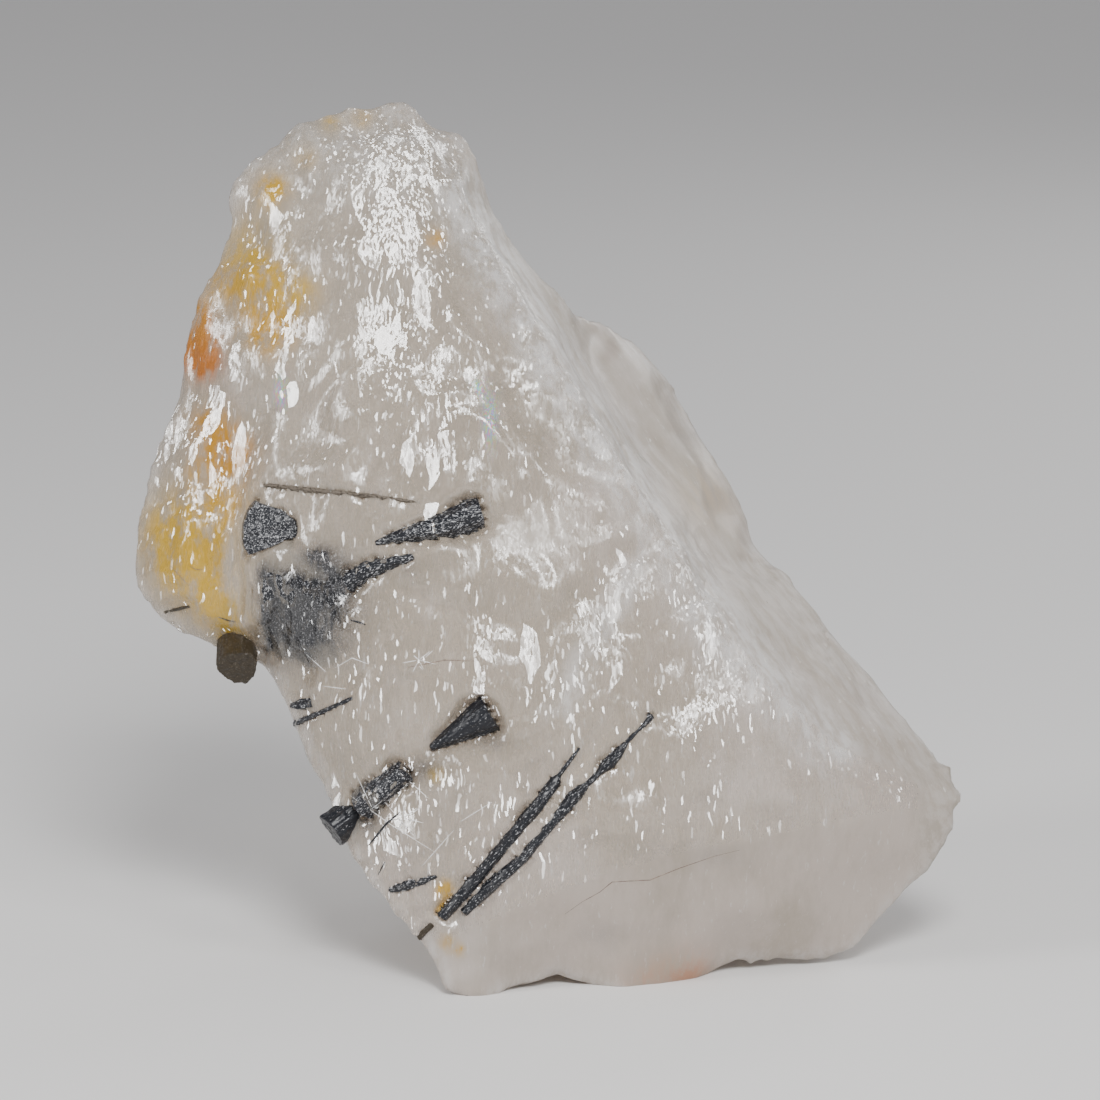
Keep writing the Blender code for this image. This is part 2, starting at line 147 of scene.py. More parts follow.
def soft_light(name, round_to_right, above, width, height, brightness):
    """A panel that faces the stone, so many degrees round to the right of the front and above the floor."""
    lamp = bpy.data.lights.new(name, "AREA")
    lamp.shape = "RECTANGLE"
    lamp.size, lamp.size_y = width, height
    lamp.energy = brightness * math.pi * width * height
    obj = bpy.data.objects.new(name, lamp)
    bpy.context.scene.collection.objects.link(obj)
    turn, rise = math.radians(round_to_right), math.radians(above)
    towards = Vector((math.sin(turn) * math.cos(rise), -math.cos(turn) * math.cos(rise), math.sin(rise)))
    obj.location = AIM + towards * LAMP_DISTANCE
    obj.rotation_euler = (-towards).to_track_quat("-Z", "Y").to_euler()


soft_light("key panel", 8, 40, 0.15, 0.17, 35)
soft_light("left panel", -66, 24, 0.12, 0.16, 18)
soft_light("right panel", 40, 30, 0.10, 0.12, 16)
soft_light("slope panel", 118, 30, 0.16, 0.16, 3)
soft_light("back panel", 146, 20, 0.12, 0.10, 9)

world = bpy.data.worlds.new("pale room")
world.use_nodes = True
world.node_tree.nodes["Background"].inputs["Color"].default_value = (0.86, 0.86, 0.88, 1)
world.node_tree.nodes["Background"].inputs["Strength"].default_value = 0.46
bpy.context.scene.world = world

# %% [markdown]
# ## The quartz's main planes
# A broken lump is planes that meet at edges. Its rim, the line where the front turns out of sight, is
# drawn first. The front skin is then stretched over a few ridges and grooves, the back skin over its
# own edges, and the two are sewn together along the rim.

# %% Measured lines of the front
RIM = [
    (-16.5, 90.2, 9), (-13.8, 90.0, 9), (-12.2, 88.5, 9), (-10.4, 87.3, 9), (-8.6, 86.6, 9), (-7.4, 84.7, 9),
    (-6.4, 81.0, 10), (-5.6, 78.6, 10), (-3.6, 75.4, 11), (-1.6, 72.4, 12), (0.6, 70.0, 13),
    (2.2, 68.7, 15), (3.9, 69.6, 21), (5.6, 68.0, 22), (9.0, 65.2, 23), (12.2, 61.8, 24),
    (13.6, 59.2, 24), (16.8, 54.0, 23), (19.4, 49.2, 22), (20.8, 45.0, 20), (21.8, 44.0, 19),
    (23.8, 42.3, 18), (26.5, 38.6, 17), (33.0, 30.8, 16), (38.6, 24.9, 14), (40.5, 23.4, 13),
    (42.0, 22.9, 13), (42.7, 21.2, 13), (42.3, 19.3, 13), (40.0, 16.0, 12), (38.9, 14.5, 12),
    (38.4, 13.1, 12), (36.0, 10.8, 12), (32.9, 7.2, 12), (30.8, 5.0, 12), (28.0, 3.9, 12),
    (23.0, 3.6, 11), (18.0, 3.6, 9), (17.2, 3.1, 9.5), (17.4, 1.7, 10), (14.4, 0.8, 7.6),
    (10.5, 0.3, 5.4), (7.5, 0.2, 4.4), (4.5, 1.1, 4.5), (2.5, 1.5, 4.5), (0.8, 2.1, 4.5),
    (-0.6, 1.6, 3.5), (-3.6, 0.9, 2), (-6.6, -0.9, 0.5), (-8.8, -1.1, 0), (-10.5, 0.5, 0),
    (-11.4, 3.4, 0.5), (-12.8, 5.4, 1), (-15.8, 8.2, 1.5), (-18.4, 11.8, 2), (-20.2, 15.0, 2.5),
    (-21.4, 19.0, 3), (-24.0, 23.6, 4), (-25.6, 27.4, 5), (-27.6, 31.8, 6), (-29.2, 34.0, 7),
    (-31.2, 34.4, 8), (-33.8, 34.4, 8), (-34.6, 35.4, 8), (-37.7, 36.9, 9), (-40.4, 38.9, 9),
    (-41.9, 42.0, 9), (-42.3, 45.4, 9), (-41.4, 48.8, 9), (-40.4, 50.0, 9), (-40.0, 54.2, 9),
    (-38.6, 57.8, 9), (-37.6, 60.4, 9), (-37.3, 63.6, 9), (-37.0, 66.4, 9), (-35.6, 69.9, 9),
    (-33.4, 74.4, 9), (-32.2, 77.4, 9), (-31.9, 80.4, 9), (-31.2, 82.2, 9), (-28.4, 84.8, 9),
    (-25.7, 87.6, 9), (-23.2, 88.3, 9), (-20.8, 89.2, 9), (-18.4, 89.3, 9),
]
LONG_RIDGE = [
    (-8.8, 80.6, 4), (-6.4, 75.8, 3.5), (-2.5, 69.3, 2.5), (1.5, 62.3, 1.5), (6.2, 54.8, 0.5),
    (11.0, 47.3, 0), (15.5, 39.8, 0), (21.5, 31.8, 1.5), (28.5, 25.3, 4.5), (36.5, 21.3, 9),
]
SHOULDER_VALLEY = [(4.8, 62.6, 13), (9.0, 54.3, 11), (14.5, 47.8, 11), (18.5, 45.0, 14)]
LOWER_RIDGE = [
    (35.0, 18.6, 8), (29.0, 17.6, 4.5), (21.0, 16.0, 1.5), (14.0, 14.6, 0), (7.0, 12.6, -1),
    (1.0, 10.6, -1), (-5.0, 8.0, -0.5), (-10.0, 5.8, 0),
]
LOBE_EDGE = [
    (-28.2, 79.3, 5), (-28.2, 73.8, 4), (-26.5, 66.8, 2.5), (-27.5, 59.8, 1.5), (-28.5, 54.8, 1),
    (-30.0, 49.8, 1), (-30.3, 43.8, 1), (-30.0, 37.8, 2.5),
]
LOBE_GROOVE = [(-31.2, 54.3, 4), (-31.8, 49.8, 4), (-31.7, 43.8, 4), (-31.4, 37.3, 5)]
HEEL_LIP = [(15.8, 4.1, 5.5), (13.0, 3.0, 4.8), (10.5, 1.8, 4.6)]
FRONT_POINTS = [
    (-16.5, 86.3, 5), (-12.0, 84.8, 5), (-23.0, 84.8, 5), (-27.5, 80.8, 5), (-20.5, 82.3, 3),
    (-14.0, 81.8, 2.5), (-16.0, 73.8, -0.5), (-22.0, 69.8, 0.5), (-10.0, 69.8, -0.5),
    (-18.0, 59.8, -2.5), (-7.0, 57.8, -3), (1.0, 51.8, -2.5), (-22.0, 49.8, -3), (-11.0, 45.8, -4.5),
    (1.0, 39.8, -4.5), (-25.0, 40.8, -2), (-18.0, 33.8, -3.5), (-7.0, 29.8, -5), (7.0, 29.8, -3.5),
    (17.0, 23.8, -1), (-20.0, 25.8, -1.5), (-15.0, 19.8, -2.5), (-3.0, 18.8, -3.5), (9.0, 17.8, -2.5),
    (-13.0, 11.8, -1), (25.0, 20.8, 2), (7.2, 64.6, 18), (11.2, 58.3, 17), (15.5, 51.8, 16.5),
    (24.0, 35.8, 8), (32.0, 27.8, 9), (33.0, 12.3, 10), (25.0, 9.8, 6.5), (17.0, 8.3, 3.5),
    (9.0, 6.8, 2), (1.0, 6.3, 1.5), (-6.0, 3.8, 0.3), (-32.8, 66.8, 5.5), (-33.5, 59.8, 5),
    (-36.0, 53.8, 5), (-36.5, 47.8, 4), (-37.0, 41.8, 4.5), (-34.0, 38.3, 4.5),
]
print("rim:", len(RIM), "points")

# %% Edges of the back, as (right, back, up)
BACK_LINES = [
    [(-14, 33, 80), (-11, 39, 67), (-6, 44, 54), (-8, 48, 40)],
    [(-26, 38, 41), (-8, 48, 40), (8, 49, 37), (22, 45, 31), (33, 34, 20)],
    [(-26, 30, 31), (-16, 38, 18), (-2, 43, 9), (12, 43, 8), (24, 38, 9), (32, 29, 10)],
]
BACK_POINTS = [
    (-27, 35, 61), (-33, 31, 50), (-25, 33, 73), (12, 42.5, 50), (-9, 28, -0.6), (-4, 31, -0.6),
    (-5, 26, -0.6), (12, 31, -0.6), (15.5, 28, -0.6), (10, 27, -0.6), (12, 17, 1.6), (3.5, 17, 2.4),
    (-2, 12, 2.0), (2.5, 27, 3.0), (3, 36, 3.8), (24, 22, 5), (30, 24, 8), (22, 31, 4.5), (-14, 28, 9),
    (-10, 18, 4),
]

# %% Stretch the two skins
INSIDE_ONLY = 1
SAME_PLACE = 1e-6


def skin(rim, lines, points):
    """Triangles that fill the rim, through the points and along the lines."""
    corners = list(rim)
    edges = [(i, (i + 1) % len(rim)) for i in range(len(rim))]
    for line in lines:
        first = len(corners)
        corners += line
        edges += [(first + i, first + i + 1) for i in range(len(line) - 1)]
    corners += points
    upwards = Vector((0, math.sin(VIEW_TILT), math.cos(VIEW_TILT)))
    flat = [Vector((corner.x, corner.dot(upwards))) for corner in corners]
    inside = [list(range(len(rim)))]
    found = geometry.delaunay_2d_cdt(flat, edges, inside, INSIDE_ONLY, SAME_PLACE)
    came_from = [sources[0] for sources in found[3]]
    return corners, [[came_from[i] for i in face] for face in found[2]]


def quartz_cage():
    """The front and back skins sewn at the rim, less the tips that both close with one triangle."""
    rim = [place(*p) for p in RIM]
    front_lines = (LONG_RIDGE, SHOULDER_VALLEY, LOWER_RIDGE, LOBE_EDGE, LOBE_GROOVE, HEEL_LIP)
    front_lines = [[place(*p) for p in line] for line in front_lines]
    back_lines = [[Vector(p) for p in line] for line in BACK_LINES]
    front = skin(rim, front_lines, [place(*p) for p in FRONT_POINTS])
    back = skin(rim, back_lines, [Vector(p) for p in BACK_POINTS])
    tips = {frozenset(face) for face in front[1]} & {frozenset(face) for face in back[1]}
    cage = bmesh.new()
    rim_verts = [cage.verts.new(p) for p in rim]
    for corners, faces in (front, back):
        verts = rim_verts + [cage.verts.new(p) for p in corners[len(rim):]]
        for face in faces:
            if max(face) >= len(rim) or frozenset(face) not in tips:
                cage.faces.new([verts[i] for i in face])
    bmesh.ops.delete(cage, geom=[v for v in cage.verts if not v.link_faces], context="VERTS")
    bmesh.ops.recalc_face_normals(cage, faces=cage.faces)
    return cage


# %% An even net of points to carve
COARSE_CELL = 0.85
FINE_CELL = 0.30
BOX_LOW, BOX_HIGH = [TO_MEASURED @ Vector(corner) for corner in cad_box]


def apply_modifiers(obj):
    """Puts the shape that the modifiers make in the mesh itself."""
    graph = bpy.context.evaluated_depsgraph_get()
    made = bpy.data.meshes.new_from_object(obj.evaluated_get(graph))
    obj.modifiers.clear()
    obj.data = made


def remesh(obj, cell):
    """Rebuilds the mesh as an even net of small quads."""
    net = obj.modifiers.new("even net", "REMESH")
    net.mode = "VOXEL"
    net.voxel_size = cell
    apply_modifiers(obj)


def points_of(mesh):
    """The mesh's points, one row each."""
    flat = np.empty(len(mesh.vertices) * 3, dtype=np.float32)
    mesh.vertices.foreach_get("co", flat)
    return flat.reshape(-1, 3).astype(float)


def normals_of(mesh):
    """Which way the surface faces at each point, one row each."""
    flat = np.empty(len(mesh.vertices) * 3, dtype=np.float32)
    mesh.vertex_normals.foreach_get("vector", flat)
    return flat.reshape(-1, 3).astype(float)


def move_to(mesh, points):
    """Puts the mesh's points there, and none of them outside the solids' box or under the floor."""
    points = np.clip(points, BOX_LOW, BOX_HIGH)
    mesh.vertices.foreach_set("co", points.astype(np.float32).ravel())
    mesh.update()


# The coarse net rounds the edges as much as the solid's are, and the fine net takes the small breaks.
stone = add_object("quartz_lump", quartz_cage())
remesh(stone, COARSE_CELL)
remesh(stone, FINE_CELL)
print("stone:", len(stone.data.vertices), "points")

# %% [markdown]
# ## Zones of the break
# Quartz has no cleavage, so every part of the lump broke its own way. The crown and the ridges are
# hackly and crushed white, the undercut and the shoulder split cleanly, and iron got into the cracks of
# the left side. Each zone is a few soft spots and lines, and each becomes one number per point.

# %% Reading places off the mesh
def ramp(value, low, high):
    """0 below low, 1 above high, and a smooth slope between, for numbers or arrays."""
    t = np.clip((value - low) / (high - low), 0, 1)
    return t * t * (3 - 2 * t)


class Seen:
    """Where the eye sees each point of a mesh, as arrays, and whether the point faces the eye."""

    def __init__(self, mesh):
        x, y, z = points_of(mesh).T
        sine, cosine = math.sin(VIEW_TILT), math.cos(VIEW_TILT)
        self.away = y * cosine - z * sine
        spread = 1 + self.away / EYE_DISTANCE
        self.right = x / spread
        self.up = EYE_HEIGHT + (y * sine + z * cosine - EYE_HEIGHT) / spread
        _, normal_y, normal_z = normals_of(mesh).T
        self.front = 1 - ramp(normal_y * cosine - normal_z * sine, 0.0, 0.25)

    def off_line(self, line):
        """How far each point lies from a measured line, as the eye sees it."""
        nearest = np.full(len(self.right), 1e9)
        for (r0, u0, *_), (r1, u1, *_) in zip(line, line[1:]):
            along_r, along_u = r1 - r0, u1 - u0
            part = (self.right - r0) * along_r + (self.up - u0) * along_u
            part = np.clip(part / (along_r ** 2 + along_u ** 2), 0, 1)
            off = np.hypot(self.right - r0 - part * along_r, self.up - u0 - part * along_u)
            nearest = np.minimum(nearest, off)
        return nearest

    def spot(self, right, up, half_width, half_height):
        """A soft oval: 1 in its middle, about a third at its edge."""
        return np.exp(-((self.right - right) / half_width) ** 2 - ((self.up - up) / half_height) ** 2)

    def spots(self, listed, start=0):
        """The sum of soft ovals that are listed with their strengths."""
        return sum((strength * self.spot(*spot) for *spot, strength in listed), start)


# %% How hackly the break is
# Spots where it is rougher or smoother, as (right, up, half width, half height, strength).
HACKLY_SPOTS = [
    (-16.0, 80.0, 6.0, 6.0, 0.5), (-15.0, 68.0, 5.0, 12.0, 0.4), (-11.0, 59.0, 3.5, 6.0, 0.2),
    (-20.0, 76.0, 4.0, 6.0, 0.2), (-34.0, 55.0, 4.5, 7.0, 0.4), (3.0, 37.0, 5.5, 5.0, 0.3),
    (15.0, 36.0, 3.0, 7.0, 0.4), (19.0, 27.0, 5.0, 5.0, 0.3), (-21.0, 35.0, 4.5, 6.0, 0.3),
    (-13.5, 18.0, 5.5, 5.0, 0.4), (6.0, 24.0, 6.0, 4.0, 0.2), (-7.0, 36.0, 3.0, 6.0, 0.2),
    (-1.0, 61.0, 4.0, 9.0, -0.2),
]


def shoulder_of(seen):
    """1 on the smooth shoulder behind the long ridge, 0 elsewhere."""
    return ramp(seen.away, 11, 14) * (seen.right > 2) * (seen.up > 44) * seen.front


def slope_of(seen):
    """1 on the right slope, behind the long ridge, 0 elsewhere."""
    ridge = np.array(sorted(p[:2] for p in LONG_RIDGE))
    return ramp(seen.right - np.interp(-seen.up, -ridge[:, 1], ridge[:, 0]), -1.5, 2)


def calm_of(seen):
    """1 on the clean splits, the undercut and the shoulder, less on the right slope, else 0."""
    lower_line = np.array(sorted(p[:2] for p in LOWER_RIDGE))
    over_undercut = seen.up - np.interp(seen.right, lower_line[:, 0], lower_line[:, 1])
    undercut = 1 - ramp(over_undercut, -1.5, 1.5)
    return np.maximum.reduce([undercut, 0.65 * slope_of(seen), shoulder_of(seen)]) * seen.front


def satin_of(seen):
    """1 where the break is dull like satin, 0 where it is glassy."""
    dull = np.maximum(calm_of(seen), 0.85 * slope_of(seen) * seen.front)
    dull = np.maximum(dull, 0.6 * seen.spot(-1.5, 46.5, 4.0, 2.5) * seen.front)
    return np.clip(dull - 0.45 * shoulder_of(seen), 0, 1) + 0.3 * (1 - seen.front)


def hackle_of(seen):
    """From under 0.1 on clean splits to 1.2 where the break is most splintery or crushed."""
    rough = seen.spots(HACKLY_SPOTS, 0.30 + 0.3 * ramp(seen.up, 78, 86))
    rough = rough * (1 - 0.8 * calm_of(seen))
    crushed = 0.7 * (1 - ramp(seen.off_line(LONG_RIDGE[:-2]), 0.5, 4.0)) * (1 - shoulder_of(seen))
    return np.minimum(np.maximum(rough, crushed), 1.2) * seen.front + 0.7 * (1 - seen.front)


# Spots where the break has plates some millimetres long.
PLATE_SPOTS = [
    (-14.5, 77.0, 2.8, 5.0, 0.75), (-16.3, 66.0, 2.2, 6.0, 0.7), (-13.5, 84.5, 2.5, 2.5, 0.5),
    (-18.5, 79.0, 2.5, 3.5, 0.5), (-10.2, 59.0, 1.8, 4.5, 0.4), (-11.5, 68.0, 2.0, 5.0, 0.25),
    (-11.5, 52.0, 2.0, 3.0, 0.4), (-25.8, 66.5, 1.2, 2.2, 0.7), (-26.0, 60.5, 1.2, 2.0, 0.5),
    (-34.0, 55.5, 2.6, 3.5, 0.6), (6.0, 41.0, 1.6, 2.0, 0.2), (4.0, 36.5, 2.0, 3.0, 0.3),
    (1.8, 31.5, 1.8, 2.5, 0.25), (14.0, 41.0, 1.6, 3.0, 0.2), (15.5, 36.5, 1.6, 3.0, 0.25),
    (15.5, 31.0, 2.0, 2.5, 0.15), (-27.5, 79.0, 2.0, 1.5, 0.4), (-14.0, 18.5, 3.0, 3.0, 0.3),
    (-7.0, 34.0, 1.0, 4.0, 0.3),
]


def plates_of(seen):
    """1 where the break has large bright plates, 0 where it is only splintery."""
    plates = 0.01 + seen.spots(PLATE_SPOTS)
    return np.clip(plates * (1 - calm_of(seen)), 0, 1) * seen.front


# %% Where it is crushed white
# Spots where parallel cracks flash white together.
FLASH_SPOTS = [
    (-15.0, 77.0, 4.0, 5.5, 0.3), (-16.0, 66.0, 3.0, 7.0, 0.2), (-16.0, 84.0, 5.0, 3.0, 0.25),
    (-9.5, 59.0, 2.0, 5.0, 0.15), (-28.0, 74.0, 4.0, 8.0, 0.05), (-34.0, 52.0, 4.0, 7.0, 0.1),
    (-7.0, 35.0, 1.2, 7.0, 0.15), (-15.0, 38.0, 3.0, 4.0, 0.05),
    (4.6, 37.5, 1.6, 4.0, 0.25), (2.5, 31.5, 1.6, 3.0, 0.25), (-0.5, 28.5, 2.0, 2.0, 0.15),
    (8.2, 42.0, 2.0, 2.0, 0.15), (13.7, 42.0, 1.2, 2.5, 0.25), (15.8, 36.5, 1.3, 3.5, 0.3),
    (17.5, 31.0, 1.4, 3.0, 0.25), (14.5, 27.5, 2.5, 1.6, 0.15), (10.5, 32.0, 1.6, 2.5, 0.08),
    (-10.0, 22.5, 2.0, 1.6, 0.3), (-15.0, 17.5, 3.6, 4.0, 0.2), (-4.0, 18.0, 3.0, 5.0, 0.1),
    (4.0, 22.0, 3.0, 3.0, 0.06), (-20.0, 28.0, 2.5, 4.0, 0.06), (13.0, 19.0, 3.0, 2.0, 0.04),
]


# Crushed bands across the mid face, as lines through (right, up).
CRUSHED_BANDS = [
    [(9.5, 44.0), (6.5, 39.5), (4.0, 35.0), (1.0, 29.0)], [(13.6, 43.0), (15.2, 38.5), (16.8, 32.5)],
]


def frost_and_rim_glow_of(seen):
    """White along the ridge, lobe groove, crown, slope and bands; on the rim, frost and a painted glow."""
    ridge = 1 - ramp(seen.off_line(LONG_RIDGE[:-1]), 0.5, 4.5)
    crown = 0.4 * ramp(seen.up, 76, 86)
    # The white along the rim is partly frost and partly a painted glow of light through the thin edge.
    rim = 1 - ramp(seen.off_line(RIM + RIM[:1]), 0.2, 1.8)
    lobe = 0.7 * (1 - ramp(seen.off_line(LOBE_GROOVE), 0.3, 1.6))
    slope = 0.3 * slope_of(seen) * (1 - shoulder_of(seen))
    bands = 1 - ramp(np.min([seen.off_line(line) for line in CRUSHED_BANDS], axis=0), 0.3, 2.4)
    white = np.maximum.reduce([ridge * 0.9, crown, rim * 0.5, lobe, slope, bands * 0.6])
    return white * seen.front + 0.3 * (1 - seen.front)


def flash_of(seen):
    """How many of the small cracks turn to flash white, and how many painted glints the colour gets."""
    flash = 0.02 + seen.spots(FLASH_SPOTS)
    return np.clip(flash * (1 - calm_of(seen)), 0, 1) * seen.front


CLOUD_SIZE, CLOUD_SHARE = 9.0, 0.5


def milk_and_glow_of(seen):
    """How milky the body is, in clouds, with a painted glow to the right and below."""
    # Whiter to the right and below is a painted glow of light through the stone; the clouds are its own.
    glow_on_right = ramp(seen.right + 0.35 * seen.up, 14, 34)
    glow_below = 1 - ramp(seen.up, 6, 24)
    milk_and_glow = np.maximum(glow_on_right * (1 - 0.55 * slope_of(seen)), 0.8 * glow_below)
    milk_and_glow = milk_and_glow * seen.front + 0.7 * (1 - seen.front)
    places = np.stack([seen.right, seen.up, seen.away], axis=1) / CLOUD_SIZE
    clouds = np.array([noise.fractal(Vector(p), 1.0, 2.0, 4) for p in places])
    return np.clip(milk_and_glow + CLOUD_SHARE * clouds, 0, 1)


# %% Where iron stained it
# Spots of rust as (right, up, radius, strength, redness).
RUST_SPOTS = [
    (-27.8, 80.7, 1.6, 1.0, 0.2), (-35.8, 66.5, 2.2, 1.2, 0.8), (-35.0, 63.8, 1.8, 1.3, 1.0),
    (-36.4, 68.8, 1.6, 1.1, 0.5), (-29.0, 71.5, 2.4, 1.0, 0.2), (-28.2, 67.2, 2.4, 1.2, 0.35),
    (-25.6, 70.5, 2.2, 0.7, 0.1), (-30.0, 75.0, 3.0, 0.5, 0.05), (-33.0, 71.5, 2.0, 0.6, 0.3),
    (-33.8, 57.2, 2.0, 0.9, 0.5), (-32.0, 54.5, 2.2, 1.1, 0.6), (-34.0, 52.4, 2.0, 0.9, 0.4),
    (-37.5, 46.8, 3.4, 0.75, 0.1), (-34.8, 44.8, 3.2, 0.8, 0.15), (-37.0, 42.6, 2.6, 0.65, 0.1),
    (-33.6, 39.6, 2.4, 0.8, 0.1), (-31.8, 37.2, 1.8, 0.8, 0.1), (-32.6, 49.5, 2.4, 0.7, 0.3),
    (-10.5, 10.8, 0.8, 1.6, 0.2), (-10.8, 8.9, 0.6, 1.2, 0.2), (-10.2, 5.6, 0.6, 1.5, 0.2),
    (-9.2, 4.8, 0.5, 1.2, 0.2), (-11.4, 22.3, 0.7, 1.0, 0.0), (-11.5, 76.0, 0.9, 0.7, 0.4),
    (-18.8, 88.0, 1.0, 0.5, 0.2), (-22.0, 87.5, 1.0, 0.5, 0.1), (-24.5, 84.0, 1.2, 0.4, 0.2),
    (14.0, 1.8, 2.6, 0.45, 1.0), (9.5, 1.4, 2.4, 0.25, 1.0), (15.5, 50.0, 3.6, 0.13, 0.0),
]
# Spots where a film of air in a crack shows rainbow colours, as (right, up, half width, half height).
RAINBOW_SPOTS = [(-6.0, 57.9, 0.6, 2.4), (-7.2, 61.0, 0.6, 0.8), (-26.9, 60.5, 0.6, 1.4)]


def rust_of(seen):
    """How much rust there is, and how red it is."""
    amount, red = 1e-6, 0
    for right, up, radius, strength, redness in RUST_SPOTS:
        near = strength * seen.spot(right, up, radius, radius) * seen.front
        amount, red = amount + near, red + near * redness
    return np.minimum(amount, 1), red / amount


def rainbow_of(seen):
    """Where the rainbow films are."""
    shown = sum(seen.spot(*spot) for spot in RAINBOW_SPOTS)
    return np.minimum(shown, 1) * seen.front


# %% [markdown]
# ## The tourmaline crystals
# Tourmaline grows as prisms with ribs along their length, and breaks across them. Each plain solid is
# copied, rebuilt as a fine net, and ribbed along its own axis. They come before the carving, because the
# quartz is then drawn over them or back from them. The thick body dips under the quartz at its lower end.

# %% Rib the crystals
# How dusty each crystal is: quartz dust clings to the black ones, which makes them look speckled.
DUST = {
    "rim_stub": 0.25, "end_face_stub": 0.45, "thick_body": 0.5, "upper_band": 0.42, "lower_band": 0.4,
    "long_needle": 1.3, "pair_block": 0.35, "pair_needle": 0.3, "chain_rim_end": 0.15, "chain_middle": 0.4,
    "chain_wedge": 0.15, "needle_upper": 0.25, "needle_tip": 0.3, "needle_lower": 0.3, "short_band": 0.4,
    "lobe_needle": 0.3,
}
BROWN = ("rim_stub", "long_needle", "needle_tip", "lobe_needle")
# Crystals that show little more than the break across them, so that their specks aren't drawn out.
STUBS = ("rim_stub", "end_face_stub")
RIB_SIZE, RIB_HEIGHT, RIB_DRAWN_OUT = 0.45, 0.10, 0.9
CHIP_SIZE, CHIP_HEIGHT = 0.9, 0.12
SPECK_DRAWN_OUT = 0.55
SMALLEST_CELL, LARGEST_CELL = 0.05, 0.12
# Crystals thinner than this, as their points spread across them, have smaller and lower ribs.
FULL_SIZE = 0.5
# Crystals that broke off level with the stone, and how the deeper one dips, in millimetres.
LEVEL_CRYSTALS = ("thick_body",)
DIP_BELOW, DIP = 41.5, 0.02
AWAY = np.array((0, math.cos(VIEW_TILT), -math.sin(VIEW_TILT)))


def paint(mesh, name, values):
    """Keeps one number or one vector per point for the materials to read."""
    kind, field = ("FLOAT", "value") if values.ndim == 1 else ("FLOAT_VECTOR", "vector")
    mesh.attributes.new(name, kind, "POINT").data.foreach_set(field, values.astype(np.float32).ravel())


def noise_at(places):
    """Smooth noise, one number for each place."""
    return np.array([noise.noise(Vector(p)) for p in places])


def axis_of(points):
    """The direction in which the points are spread the most."""
    spread = np.cov((points - points.mean(axis=0)).T)
    return np.linalg.eigh(spread)[1][:, -1]


def ribbed(name, node):
    """A finer copy of a crystal, in the measured frame, with ribs along its axis and chipped ends."""
    points = np.array([TO_MEASURED @ v.co for v in node.data.vertices])
    mesh = node.data.copy()
    mesh.transform(TO_MEASURED)
    piece = bpy.data.objects.new(name + "_crystal", mesh)
    bpy.context.scene.collection.objects.link(piece)
    across = sorted(np.linalg.svd(points - points.mean(axis=0))[1] / math.sqrt(len(points)))[0]
    remesh(piece, min(LARGEST_CELL, max(SMALLEST_CELL, across / 5)))
    small = min(1, across / FULL_SIZE)
    points, normals, axis = points_of(piece.data), normals_of(piece.data), axis_of(points)
    squeezed = points - RIB_DRAWN_OUT * (points @ axis)[:, None] * axis
    ribs = noise_at(squeezed / (RIB_SIZE * small)) * RIB_HEIGHT
    chips = noise_at(points / (CHIP_SIZE * small)) * CHIP_HEIGHT
    points = points + normals * ((ribs + np.minimum(chips, 0)) * small ** 2)[:, None]
    if name in LEVEL_CRYSTALS:
        dip = DIP * np.maximum(0, DIP_BELOW - Seen(piece.data).up) ** 2
        points = points + dip[:, None] * AWAY
    move_to(piece.data, points)
    drawn_out = 0 if name in STUBS else SPECK_DRAWN_OUT
    paint(piece.data, "fibre", points - drawn_out * (points @ axis)[:, None] * axis)
    piece.data.shade_smooth()
    piece.data.set_sharp_from_angle(angle=math.radians(35))
    return piece


crystals = {name: ribbed(name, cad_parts[name]) for name in DUST}
print("crystals:", sum(len(piece.data.polygons) for piece in crystals.values()), "faces")

# %% [markdown]
# ## Carve the break
# The coarse relief is the same as the solid's, so the two agree. On top of it come the breaks that only
# show from close by: flakes, small planes with their own lean, drawn out up the face. Where a crystal
# comes to the surface, the quartz is drawn over it in ragged flaps or laid bare around it.

# %% Relief of the solid
SWELL_SIZE, SWELL_HEIGHT = 11.0, 0.5
RIPPLE_SIZE, RIPPLE_HEIGHT = 4.5, 0.22
FACET_SIZE, FACET_TILT, FACET_ROUNDING = 6.0, 0.12, 0.35
STEP_SIZE, STEP_HEIGHT, STEPS_IN_SIZE = 9.0, 0.4, 2.5
RISE_START, RISE_LENGTH = 0.25, 0.5
RIPPLE_SHIFT = Vector((9, 4, 2))
STEP_SHIFT = Vector((30, 0, 0))
LEAN_SHIFT = 7.3


def facet(point, size, tilt):
    """Height of a surface broken into facets that each lean their own way, with rounded edges between."""
    where = point / size
    distances, centres = noise.voronoi(where)
    height, shares = 0, 0
    for distance, centre in zip(distances, centres):
        share = max(0, 1 - (distance - distances[0]) / FACET_ROUNDING) ** 2
        lean = noise.cell_vector(centre * size * LEAN_SHIFT) - Vector((0.5, 0.5, 0.5))
        height += share * (where - centre).dot(lean)
        shares += share
    return height / shares * size * 2 * tilt


def ledge(point, size, height):
    """Steps where one layer of the break ends on the next."""
    level = noise.noise(point / size) * STEPS_IN_SIZE
    whole = math.floor(level)
    rise = min(1, max(0, (level - whole - RISE_START) / RISE_LENGTH))
    return (whole + rise - level) * height


def relief(point, calm):
    """How far the broken surface stands out of the main planes, in millimetres."""
    swell = SWELL_HEIGHT * noise.noise(point / SWELL_SIZE)
    sharp = (
        RIPPLE_HEIGHT * noise.noise(point / RIPPLE_SIZE + RIPPLE_SHIFT)
        + facet(point, FACET_SIZE, FACET_TILT)
        + ledge(point + STEP_SHIFT, STEP_SIZE, STEP_HEIGHT)
    )
    return swell + sharp * (1 - 0.6 * calm)


# %% Flakes
FLAKE_SIZE, FLAKE_LENGTH, FLAKE_TILT = 3.6, 3.0, 0.12


def flakes(point):
    """Small leaning planes, drawn out up the face, in millimetres."""
    return facet(Vector((point.x, point.y, point.z / FLAKE_LENGTH)), FLAKE_SIZE, FLAKE_TILT)


